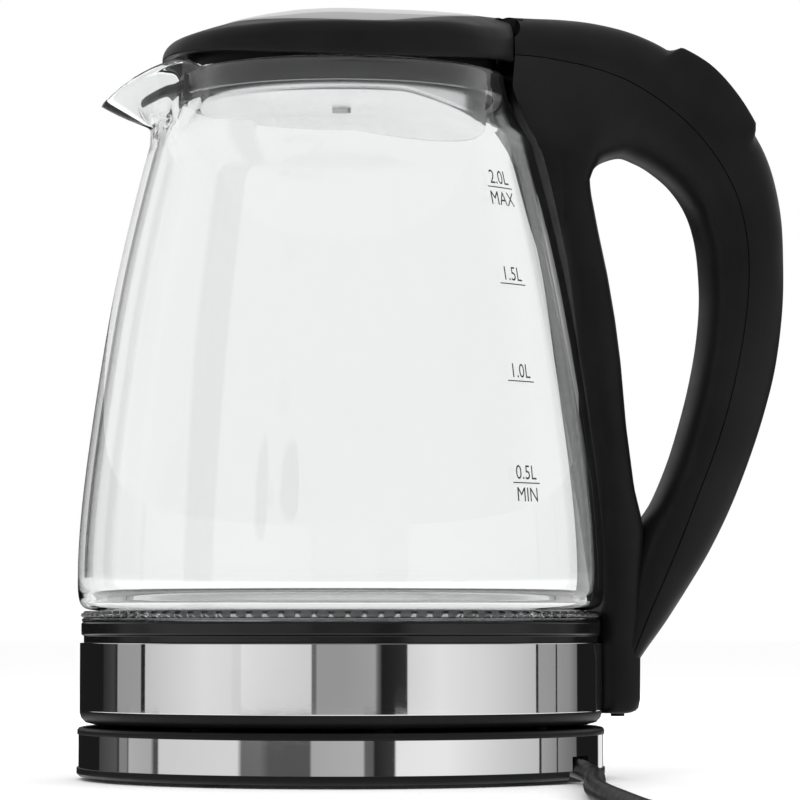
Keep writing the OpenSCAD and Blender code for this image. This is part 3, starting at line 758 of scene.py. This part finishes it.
# How the lid's dome falls to its front, back and sides, arches at its back and is rounder at its plate
DOME_FRONT = 254.0
DOME_BACK = 0.9
DOME_SIDE = 0.0039
ARCH_SIDE = 0.0057
ARCH_START = 10.0
ARCH_LENGTH = 40.0
PLATE_ROUND = 2.3
ROUND_FADE = 14.0


def lid_height(x, y):
    """Height of the lid's top: a shallow dome that arches up into the handle at its back."""
    r = math.hypot(x, y)
    along = x * x / DOME_FRONT if x < 0 else DOME_BACK * (x / LID_BACK) ** 2
    arch = (max(x - ARCH_START, 0) / ARCH_LENGTH) ** 3
    round_plate = (r / PLATE_R) ** 2 if r < PLATE_R else 1 - smooth_step((r - PLATE_R) / ROUND_FADE)
    facing = (y / r) ** 2 if r > 0.1 else 0.0
    return (LID_TOP - along - y * y * (DOME_SIDE + ARCH_SIDE * arch)
            - PLATE_ROUND * round_plate * facing * (1 - smooth_step(x / LID_BACK)))


def lid_edge(x):
    """Height of the lid's curved lower edge."""
    return 221.3 + x * x / 606


LID_SKIN = 2.0
RIM_ROUND = 3.0
# Distances in from the rim at which a section has a point
RIM_STOPS = [6.5, 4.6, 3.0, 2.3, 1.65, 1.1, 0.6, 0.25, 0.05, 0.0]
# The seat that the plate lies in
SEAT_R = PLATE_R + 0.25
SEAT_DEEP = 1.0
SEAT_BEVEL = 0.25


def lid_section(angle, skin):
    """Points from the plate's centre to the rim and down to the lid's edge, a skin inside it."""
    c, s = math.cos(angle), math.sin(angle)
    radius = LID_R - skin
    reach = -PLATE_X * c + math.sqrt(radius * radius - (PLATE_X * s) ** 2)
    span = reach - SEAT_R - 0.35
    stops = [0, 8, 16, 24, 32, 38]
    stops += [SEAT_R - 1.6, SEAT_R + 0.3] if skin else [SEAT_R - 0.05, SEAT_R, SEAT_R + 0.35]
    stops += [SEAT_R + 0.35 + span * share for share in (0.3, 0.5)]
    stops += [reach - d for d in RIM_STOPS if reach - d > SEAT_R + 3]
    found = []
    for stop in stops:
        x, y = PLATE_X + stop * c, stop * s
        z = lid_height(x, y) - skin
        if skin:
            z -= SEAT_DEEP * (1 - smooth_step((stop - SEAT_R) / 3))
        elif stop < SEAT_R:
            z -= SEAT_DEEP
        elif stop == SEAT_R:
            z -= SEAT_BEVEL
        inside = reach - stop
        if inside < RIM_ROUND:
            z -= RIM_ROUND - math.sqrt(RIM_ROUND ** 2 - (RIM_ROUND - inside) ** 2)
        found.append((x, y, z))
    x, y = PLATE_X + reach * c, reach * s
    low = lid_edge(x)
    top = found[-1][2]
    found += [(x, y, top + (low + 0.5 - top) * t) for t in (0.25, 0.5, 0.75)]
    inset = 0.0 if skin else 0.15
    return found + [(x, y, low + 0.4), (x - inset * c, y - inset * s, low + 0.1)]


def add_lid_cover():
    """The lid's black shell, cut off flat where the handle begins."""
    rings = [lid_section(a, 0) + lid_section(a, LID_SKIN)[::-1] for a in around(240)]
    lid = raw("lid_shell", loft(rings, closed_path=True))
    work = bmesh.new()
    work.from_mesh(lid.data)
    bmesh.ops.remove_doubles(work, verts=work.verts, dist=1e-6)
    found = bmesh.ops.bisect_plane(
        work, geom=[*work.verts, *work.edges, *work.faces],
        plane_co=(LID_BACK * MM, 0, 0), plane_no=(1, 0, 0), clear_outer=True)
    edges = [e for e in found["geom_cut"] if isinstance(e, bmesh.types.BMEdge)]
    bmesh.ops.holes_fill(work, edges=edges)
    work.to_mesh(lid.data)
    work.free()
    finish_mesh(lid, 35)
    dress(lid, "lid", BLACK, ["lid_cover"])


def rod_y(radius, x, z, y0, y1):
    """A round bar along Y with slightly rounded ends."""
    bevel = 0.4
    inwards = math.copysign(bevel, y1 - y0)
    ends = [(y0, radius - bevel), (y0 + inwards, radius), (y1 - inwards, radius), (y1, radius - bevel)]
    return capped_loft([[(x + r * math.cos(a), y, z + r * math.sin(a)) for a in around(40)]
                        for y, r in ends])


def add_lid_frame():
    """The lid's inner wall, which carries the pan and its seal, with the hinge's two barrels."""
    wall = [(47.5, 220.4), (49.3, 220.4), (49.3, 231.5), (47.5, 231.5)]
    verts, faces = lathe(rounded(wall, 0.4, 2), 160)
    for side in (-1, 1):
        join(verts, faces, rod_y(4.2, HINGE[0] - 1.4, HINGE[1] - 1.2, side * 6.0, side * 15.0))
    make("lid_frame", (verts, faces), "lid", BLACK)


PAN_R = 46.0
PAN_LOW = 211.8
PAN_BEND = 1.6
PAN_WALL = 0.8


def pan_floor(x):
    """Height of the underside of the pan's floor, which dips towards the handle."""
    past = max(x - 11, 0)
    return PAN_LOW - 0.2229 * (past * past / (past + 3.0))


def pan_section(shift, c):
    """The pan's wall, bend and floor, moved in by a shift, where the cosine of the angle is c."""
    r = PAN_R - shift
    low = pan_floor(r * c) + shift
    found = [(r, z) for z in (222.6, 218, 214.6, low + PAN_BEND + 0.3, low + PAN_BEND)]
    for k in range(1, 5):
        t = math.pi / 2 * k / 5
        found.append((r - PAN_BEND * (1 - math.cos(t)), low + PAN_BEND * (1 - math.sin(t))))
    for q in (r - PAN_BEND, r - PAN_BEND - 0.3, 40, 34, 28, 22, 16, 10, 4, 1.7):
        found.append((q, pan_floor(q * c) + shift))
    return found


def add_lid_pan():
    """The steel pan under the lid: a pressed cup with a small hole in its middle."""
    rings = []
    for a in around(192):
        outline = pan_section(0.0, math.cos(a)) + pan_section(PAN_WALL, math.cos(a))[::-1]
        rings.append([turned(r, z, a) for r, z in outline])
    make("lid_cup", loft(rings, closed_path=True), "lid", BRUSHED, ["lid_pan"],
         angle=60)


# Radii of the steel plate's points, and how far its rolled edge has dropped there
PLATE_OUTLINE = [(r, 0) for r in (0, 8, 16, 24, 31, 36, 39)]
PLATE_OUTLINE += [(40.6, 0.02), (41.3, 0.1), (41.65, 0.28), (PLATE_R, 0.6)]
PLATE_UNDER = 0.9


def add_lid_plate():
    """The inlaid steel plate: a thin crowned disc with a rolled edge."""
    rings = []
    for a in around(160):
        ring = []
        for stop, drop in PLATE_OUTLINE:
            x, y = PLATE_X + stop * math.cos(a), stop * math.sin(a)
            ring.append((x, y, lid_height(x, y) + PLATE_PROUD - drop))
        ring += [(x, y, lid_height(x, y) - PLATE_UNDER) for x, y, _ in ring[::-1]]
        rings.append(ring)
    make("lid_inlay", loft(rings, closed_path=True), "lid", PLATE, ["lid_plate"],
         angle=50)


# ---------- handle ----------

# Stations along the handle: its outer ridge, seam and inner edge in (X, Z), and half its width
STATIONS = [
    ((50.5, 242.4), (50.5, 227.4), (50.5, 203), 27.6),
    ((60, 242.5), (58.5, 227.3), (58, 185), 25.8),
    ((70, 242.8), (67, 226.8), (66, 172), 22.4),
    ((80, 242.4), (75.5, 226), (73.5, 168), 19.0),
    ((90, 240.9), (83.5, 224.4), (78.3, 187), 16.6),
    ((98, 238.6), (90.5, 222.2), (82, 194.5), 15.2),
    ((105.5, 235.3), (97, 219), (90.5, 198.2), 14.4),
    ((112, 231), (103, 215.2), (96.5, 196.8), 14.1),
    ((119, 225.3), (109.5, 210.2), (102.5, 193.5), 14),
    ((127, 217.8), (116, 203.6), (109, 188), 14),
    ((135.2, 208.8), (122.3, 195), (114.2, 180), 14),
    ((141, 197.3), (127.2, 185), (117, 170), 14),
    ((144.5, 182), (130, 172.5), (118, 158), 14),
    ((145.3, 166), (130.6, 160), (117.8, 148), 14),
    ((144.9, 150), (129.5, 147), (116.4, 136), 14),
    ((142.5, 132), (126.8, 131.5), (113.8, 123.5), 14),
    ((138.5, 116.5), (123.2, 117), (110.6, 112), 14),
    ((133.2, 101), (118.6, 103), (106.8, 100.4), 14),
    ((126.8, 85.5), (113.2, 89.5), (101.6, 88.5), 14),
    ((119.6, 71.5), (107.8, 76), (96.2, 80.5), 14),
    ((112, 59.5), (102.6, 64), (91.2, 68), 14),
    ((104.5, 48.5), (97.6, 53), (88.8, 55.5), 14),
    ((97.5, 39.5), (93.2, 42.5), (88.2, 44.5), 13.9),
    ((94, 34.5), (91, 36.5), (87.5, 38), 12.4),
]
STATION_STEPS = 8
HANDLE_FRONT = 50.5
GLASS_AIR = 0.35
# How far the spine stands off the glass at a height
SPINE_OFF = [(60, 0.0), (100, 0.1), (136, 0.4), (165, 2.0), (196, 2.2), (214, 1.4), (221, 0.4)]
# How far off the seam the two shells begin, and the lip behind that edge
SEAM_STEP = 0.16
SEAM_LIP = 0.02
SEAM_IN = 0.45


def handle_stations():
    flat = [(*outer, *seam, *inner, half) for outer, seam, inner, half in STATIONS]
    return [(r[0:2], r[2:4], r[4:6], r[6]) for r in spline(flat, STATION_STEPS)]


def glass_outside(z):
    """Outer radius of the glass, or of the foot below it, at a height."""
    if z < GLASS_LOW + 2:
        return SKIRT_R
    if z < WIDEST_Z:
        return GLASS_R
    if z < SHOULDER_Z:
        return belly(z)
    return table([(SHOULDER_Z, belly(SHOULDER_Z))] + [(b, a) for a, b in NECK_OUTSIDE], z)


def handle_inside(z):
    """Radius at a height that the handle stays outside of."""
    return glass_outside(z) + GLASS_AIR + table(SPINE_OFF, z)


def clear_of_jug(p):
    """Moves a point of the handle back to just outside the jug and the lid."""
    x, y, z = p
    if z > RIM_Z + 0.6:
        front = HANDLE_FRONT
        if abs(z - HINGE[1]) < HINGE_RELIEF:
            front = max(front, HINGE[0] + math.sqrt(HINGE_RELIEF ** 2 - (z - HINGE[1]) ** 2))
        return (max(x, front), y, z)
    r = handle_inside(z)
    return (max(x, math.sqrt(max(r * r - y * y, 0))), y, z)


def arch(start, end, half, power, points, narrow=None):
    """A mirrored arch in Y, from one side at start over end and back to the other side."""
    found = []
    for k in range(points):
        a = math.pi * k / (points - 1)
        c, s = math.cos(a), math.sin(a)
        y = math.copysign(abs(c) ** (2 / power), c)
        x, z = lerp(start, end, abs(s) ** (2 / power))
        found.append((x, -y * (narrow(half, z) if narrow else half), z))
    return found


def shell_ring(seam, end, half, power, points, narrow=None):
    """A section of a shell: an arch from the seam over its end, with a lip drawn in at the seam."""
    away = math.dist(seam, end)
    start = lerp(seam, end, SEAM_STEP / away)
    x, z = lerp(seam, end, SEAM_LIP / away)
    lip = half - SEAM_IN
    return [(x, -lip, z)] + arch(start, end, half, power, points, narrow) + [(x, lip, z)]


def shell_shape(rings, columns):
    """A shell through its rings, closed against the jug at its first one and flat at its last."""
    verts, faces = loft(rings)
    count = len(rings[0])
    cap(verts, faces, 0, count, columns, clear_of_jug)
    cap(verts, faces, (len(rings) - 1) * count, count, 8)
    return verts, faces


# The pod of keys: its top is an arc about a centre given along the pod (u) and out of it (v), and
# falls away from that arc towards the rocker
POD_ARC = 62.0
ARC_U = 3.5
ARC_V = -59.2
FALL_SLOPE = 0.0707
FALL_START = -4.0
FALL_BEND = 3.0
POD_HALF = 9.0
POD_LOW = -13.4
POD_HIGH = 20.3
POD_GAP = 0.4
POD_KEYS_PROUD = 0.7
# The collar round the keys: where each slope starts and how long it is
COLLAR_NEAR = (-17.5, 3.0)
COLLAR_FAR = (19.8, 3.4)
COLLAR_SIDE = (10.0, 3.6)


def from_pod(u, y, v):
    """A point given along the pod, across it and out of it."""
    c, s = math.cos(POD_TILT), math.sin(POD_TILT)
    return (POD_AT[0] + u * c + v * s, y, POD_AT[1] - u * s + v * c)


def pod_top(u):
    past = u - FALL_START
    fall = FALL_SLOPE * (math.hypot(past, FALL_BEND) + past)
    return ARC_V + math.sqrt(POD_ARC ** 2 - (u - ARC_U) ** 2) - fall


def slope(value, where):
    start, length = where
    return smooth_step((value - start) / length)


def raise_pod(p):
    """Lifts a point of the cover onto the collar round the keys."""
    dx, y, dz = p[0] - POD_AT[0], p[1], p[2] - POD_AT[1]
    c, s = math.cos(POD_TILT), math.sin(POD_TILT)
    u, v = dx * c - dz * s, dx * s + dz * c
    # Points deep under the pod or well past its ends stay where they are
    if v < -13 or not -24 < u < 30:
        return p
    side = 1 - slope(abs(y), COLLAR_SIDE)
    ends = slope(u, COLLAR_NEAR) * (1 - slope(u, COLLAR_FAR))
    target = pod_top(min(max(u, -17), 23)) - POD_KEYS_PROUD
    return from_pod(u, y, v + max(target - v, 0.0) * (side * ends))


def pod_window_shape():
    """The opening that the button and the rocker sit in, with rounded ends."""
    half = POD_HALF + POD_GAP
    corners = [(POD_LOW, -half), (POD_HIGH, -half), (POD_HIGH, half), (POD_LOW, half)]
    plan = rounded(corners, 3.4, 6)
    return capped_loft([[from_pod(u, y, v) for u, y in plan] for v in (-11, 12)])


# Boxes cut out of the cover to make way for the latch
LATCH_WAY = [
    ("latch_slot", (49, -3.3, 228.7), (80, 3.3, 231.7)),
    ("latch_chamber", (79, -5.5, 220), (98, 5.5, 233.2)),
    ("latch_well", (97, -4, 220), (107, 4, 232)),
]
# The cover's sections are squarer over its first stations, where it meets the lid
COVER_POWER = 2.35
COVER_SQUARE = 0.45
SQUARE_STATIONS = 4


def add_handle_cover():
    rings = []
    for i, (outer, seam, _, half) in enumerate(handle_stations()):
        square = max(0.0, 1 - i / (SQUARE_STATIONS * STATION_STEPS))
        ring = shell_ring(seam, outer, half, COVER_POWER + COVER_SQUARE * square, 60)
        rings.append([clear_of_jug(raise_pod(p)) for p in ring])
    cover = raw("handle_top_shell", shell_shape(rings, 8))
    finish_mesh(cover, 40)
    cutters = [raw("window", pod_window_shape())]
    cutters += [raw(name, box_shape(low, high)) for name, low, high in LATCH_WAY]
    cut(cover, cutters)
    dress(cover, "kettle", BLACK, ["handle_cover"])


# How square the inner shell's sections are, by the seam's distance along X
SHELL_POWER = [(60, 5.0), (84, 4.0), (97, 2.7), (131, 2.5)]
# How much nearer the seam the open grip's inner edge is than its stations say
GRIP_EASE = 1.0
WAIST_HALF = 13.8


def waist(half, z):
    """Half the width of the inner shell, which draws in below the lid to the width of the spine."""
    if half <= WAIST_HALF:
        return half
    return WAIST_HALF + (half - WAIST_HALF) * smooth_step((z - 204) / 21)


def add_inner_shell():
    rings = []
    for _, seam, inner, half in handle_stations():
        ease = GRIP_EASE * smooth_step((seam[0] - 80) / 12) / math.dist(seam, inner)
        power = table(SHELL_POWER, seam[0])
        ring = shell_ring(seam, lerp(inner, seam, ease), half, power, 36, waist)
        rings.append([clear_of_jug(p) for p in ring])
    make("handle_grip_shell", shell_shape(rings, 16), "kettle", BLACK,
         ["handle_inner_shell"])


def add_hinge_ears():
    verts, faces = [], []
    for side in (-1, 1):
        low, high = sorted((side * 15.6, side * 19.4))
        join(verts, faces, rod_y(2.5, HINGE[0], HINGE[1], side * 15.6, side * 19.4))
        join(verts, faces, box_shape((HINGE[0], low, HINGE[1] - 2.4), (55, high, HINGE[1] + 2.2)))
    make("hinge_ears", (verts, faces), "kettle", BLACK)


# Height and back edge (X) of the spine
SPINE_BACK = [
    (20.3, 92.4), (21.2, 94.0), (23, 95), (40, 95.2), (62, 95.4), (78, 96.4), (83, 95.6), (92, 93.4),
    (112, 90.8), (132, 89.1), (146, 87.3), (160, 84.9), (174, 81.9), (187, 79.4), (194, 79.0),
    (202, 77), (210, 72), (216, 68),
]
SPINE_HALF = 13.7
# The spine's foot: its heights, and how far the outline is inset there
SPINE_FOOT = [(20.3, 1.6), (20.6, 0.8), (21.1, 0.3), (22, 0.0)]
SPINE_TOP = 216
# The eased front corner, measured back from the front and in from the side
FRONT_CORNER = [(0.5, 2.5), (1.8, 1.2), (3.4, 0.4), (5.0, 0.0)]


def spine_section(z, inset):
    """Outline of the spine seen from above: its front follows the jug, its corners are rounded."""
    r = handle_inside(z)
    back = table(SPINE_BACK, z) - inset
    half = SPINE_HALF - inset
    edge = half - 3.6
    front = [(math.sqrt(r * r - y * y), y) for y in (edge * k / 8 for k in range(9))]
    nose = front[-1][0]
    found = front + [(nose + behind, half - within) for behind, within in FRONT_CORNER]
    bend = min(5.0, (back - nose - 5.0) * 0.7)
    for k in range(7):
        a = math.pi / 2 * k / 6
        found.append((back - bend + bend * math.sin(a), half - bend + bend * math.cos(a)))
    found.append((back, 0.0))
    mirrored = [(x, -y) for x, y in found[-2:0:-1]]
    return [(x, y, z) for x, y in found + mirrored]


def add_spine():
    steps = 70
    low = SPINE_FOOT[-1][0]
    heights = SPINE_FOOT + [(low + (SPINE_TOP - low) * k / steps, 0.0) for k in range(1, steps + 1)]
    make("handle_backbone", capped_loft([spine_section(z, inset) for z, inset in heights]), "kettle",
         BLACK, ["handle_spine"])


# ---------- controls on the handle ----------

KEY_BEND = 2.6
KEY_STEPS = 26
# How far each end of a key drops, and over what length
END_DROP = 0.55
END_LENGTH = 1.6


def key_shape(u0, u1, low, round_start, round_end):
    """A key whose top follows the pod's arc and rolls over at its sides and ends."""
    rings = []
    for i in range(KEY_STEPS + 1):
        t = 0.5 - 0.5 * math.cos(math.pi * i / KEY_STEPS)
        u = u0 + (u1 - u0) * t
        ends = [(u - u0, round_start), (u1 - u, round_end)]
        narrow = sum((r - math.sqrt(max(r * r - (r - d) ** 2, 0))) for d, r in ends if d < r)
        drop = sum(END_DROP * (1 - d / END_LENGTH) ** 2 for d, _ in ends if d < END_LENGTH)
        half = POD_HALF - narrow
        top = pod_top(u) - drop
        ring = [(half, low), (half, top - KEY_BEND - 1.2)]
        for k in range(1, 6):
            a = math.pi / 2 * k / 5
            ring.append((half - KEY_BEND + KEY_BEND * math.cos(a),
                         top - KEY_BEND - 0.35 + KEY_BEND * math.sin(a)))
        ring += [(half * 0.4, top - 0.1), (0.0, top)]
        mirrored = [(-y, v) for y, v in ring[-2::-1]]
        rings.append([from_pod(u, y, v) for y, v in ring + mirrored])
    return capped_loft(rings)


def add_keys():
    make("lid_release_key", key_shape(-13, 8.6, -6, 3.2, 0.8), "button", BLACK,
         ["lid_button"])
    make("power_rocker", key_shape(9.2, 19.2, -6.4, 0.8, 3.2), "rocker", BLACK,
         ["switch_rocker"])


# The ribs across the rocker's pad
RIBS = 6
FIRST_RIB = 12.6
RIB_PITCH = 0.95
RIB_REACH = 5.2
RIB_HALF = 0.36


def rib_shape(u):
    top = pod_top(u)
    rings = []
    for i in range(9):
        y = -RIB_REACH + 2 * RIB_REACH * i / 8
        tall = 0.5 + 0.62 * math.sqrt(max(1 - (y / 5.6) ** 2, 0))
        angles = [math.pi * j / 6 for j in range(7)]
        rings.append([from_pod(u + RIB_HALF * math.cos(a), y, top - 0.5 + tall * math.sin(a))
                      for a in angles])
    return capped_loft(rings)


def add_rocker_grip():
    """A ribbed pad on the rocker for the thumb."""
    verts, faces = [], []
    for k in range(RIBS):
        join(verts, faces, rib_shape(FIRST_RIB + RIB_PITCH * k))
    make("rocker_ribs", (verts, faces), "rocker", BRUSHED)


# ---------- spout filter ----------

# The tongue starts at its root in (X, Z), reaches and falls so far, and has ribs under it
TONGUE_ROOT = (-50.2, 218.2)
TONGUE_REACH = 13.4
TONGUE_FALL = 5.4
TONGUE_HALF = 9.0
TONGUE_RIB = 0.22
TONGUE_PITCH = 2.4
# The frame round the tongue's root, as bars in (Y, Y, Z, Z)
FRAME_X = (-51.2, -49.0)
FRAME_BARS = [(-10.4, 10.4, 212.1, 213.5), (-10.4, 10.4, 217.0, 220.8), (-10.4, -8.0, 213.4, 217.1),
              (8.0, 10.4, 213.4, 217.1)]


def squared(value):
    """Turns a circle's sine or cosine into that of a rounded box."""
    return math.copysign(abs(value) ** 0.6, value)


def tongue_shape():
    steps = 18
    rings = []
    for i in range(steps + 1):
        t = i / steps
        half = TONGUE_HALF * math.sqrt(max(1 - t ** 3.2, 0.0)) + 0.35
        thick = (1.7 - 0.35 * t) * math.sqrt(1 - t ** 10) + 0.15
        ring = []
        for a in around(48):
            c, v = math.cos(a), math.sin(a)
            y = half * squared(c)
            z = TONGUE_ROOT[1] - TONGUE_FALL * t + thick * squared(v)
            if v < 0:
                z -= TONGUE_RIB * math.cos(y * 2 * math.pi / TONGUE_PITCH) * min(1.0, -2 * v)
            ring.append((TONGUE_ROOT[0] - TONGUE_REACH * t, y, z))
        rings.append(ring)
    return capped_loft(rings)


def add_filter_tongue():
    """The filter's ribbed tongue, which reaches from its frame into the beak."""
    verts, faces = tongue_shape()
    for y0, y1, z0, z1 in FRAME_BARS:
        join(verts, faces, box_shape((FRAME_X[0], y0, z0), (FRAME_X[1], y1, z1)))
    make("filter_tongue", (verts, faces), "kettle", BLACK, ["spout_filter"])


# ---------- foot of the jug and base ----------

SKIRT_LOW = 21.5
SKIRT_TOP = 42.7
SKIRT_WALL = 0.65
RING_TOP = 49.2
FINE_TURN = 256


def add_foot_rings():
    inner = SKIRT_R - SKIRT_WALL
    skirt = [(inner, SKIRT_LOW), (SKIRT_R, SKIRT_LOW), (SKIRT_R, SKIRT_TOP), (inner, SKIRT_TOP)]
    make("skirt_band", lathe(rounded(skirt, 0.25, 2), FINE_TURN), "kettle", MIRROR,
         ["steel_skirt"])
    ring = [(76, SKIRT_TOP), (81.1, SKIRT_TOP), (81.1, 44.9), (81.6, 45.1), (81.9, 45.5), (81.9, 48.7),
            (81.5, RING_TOP), (76, RING_TOP)]
    make("ring_band", lathe(rounded(ring, 0.2, 2), FINE_TURN), "kettle", GLOSS,
         ["middle_ring"])


LIGHT_BEADS = 104
BEAD_STEPS = 8
# The light ring's outline: its radius, height and share of a bead's swell
LIGHT_OUTLINE = [
    (76.4, RING_TOP, 0), (81.3, RING_TOP, 0), (81.75, 49.5, 0), (81.7, 50.2, 0), (81.1, 50.45, 0),
    (81.1, 50.9, 0.7), (81.1, 51.4, 1), (81.1, 51.9, 0.7), (81.1, 52.3, 0), (81.0, 52.6, 0),
    (76.4, 52.6, 0),
]


def add_light_ring():
    """The clear ring under the glass, with a row of lens beads cast into its outside."""
    rings = []
    for i, a in enumerate(around(LIGHT_BEADS * BEAD_STEPS)):
        swell = abs(math.sin(math.pi * i / BEAD_STEPS)) ** 0.8
        rings.append([turned(r + bead * swell, z, a) for r, z, bead in LIGHT_OUTLINE])
    # The ring's grey tint is painted shade
    make("beaded_ring", loft(rings, closed_path=True), "kettle", PAINTED_SHADE_ACRYLIC,
         ["light_ring"], angle=50)


# ---------- the model ----------

add_camera()
add_floor()
add_cards("middle_card", MIDDLE_CARDS, CARD_LOW, CARD_HIGH)
add_cards("low_card", LOW_CARDS, -260, CARD_LOW)
add_cards("high_card", HIGH_CARDS, CARD_HIGH, CEILING)
add_ceiling(0.5)
add_flags(138, 151, 0.12)
add_light()
dress_cad_nodes()
add_lead()
add_glass()
add_level_marks()
add_lid_cover()
add_lid_frame()
add_lid_plate()
add_lid_pan()
add_handle_cover()
add_inner_shell()
add_hinge_ears()
add_spine()
add_keys()
add_rocker_grip()
add_filter_tongue()
add_foot_rings()
add_light_ring()
for name in ("bottom_housing", "base_shell", "base_bottom_cover"):
    soften_cad_node(name, 0.4)
soften_cad_node("neck_collar", 0.3)
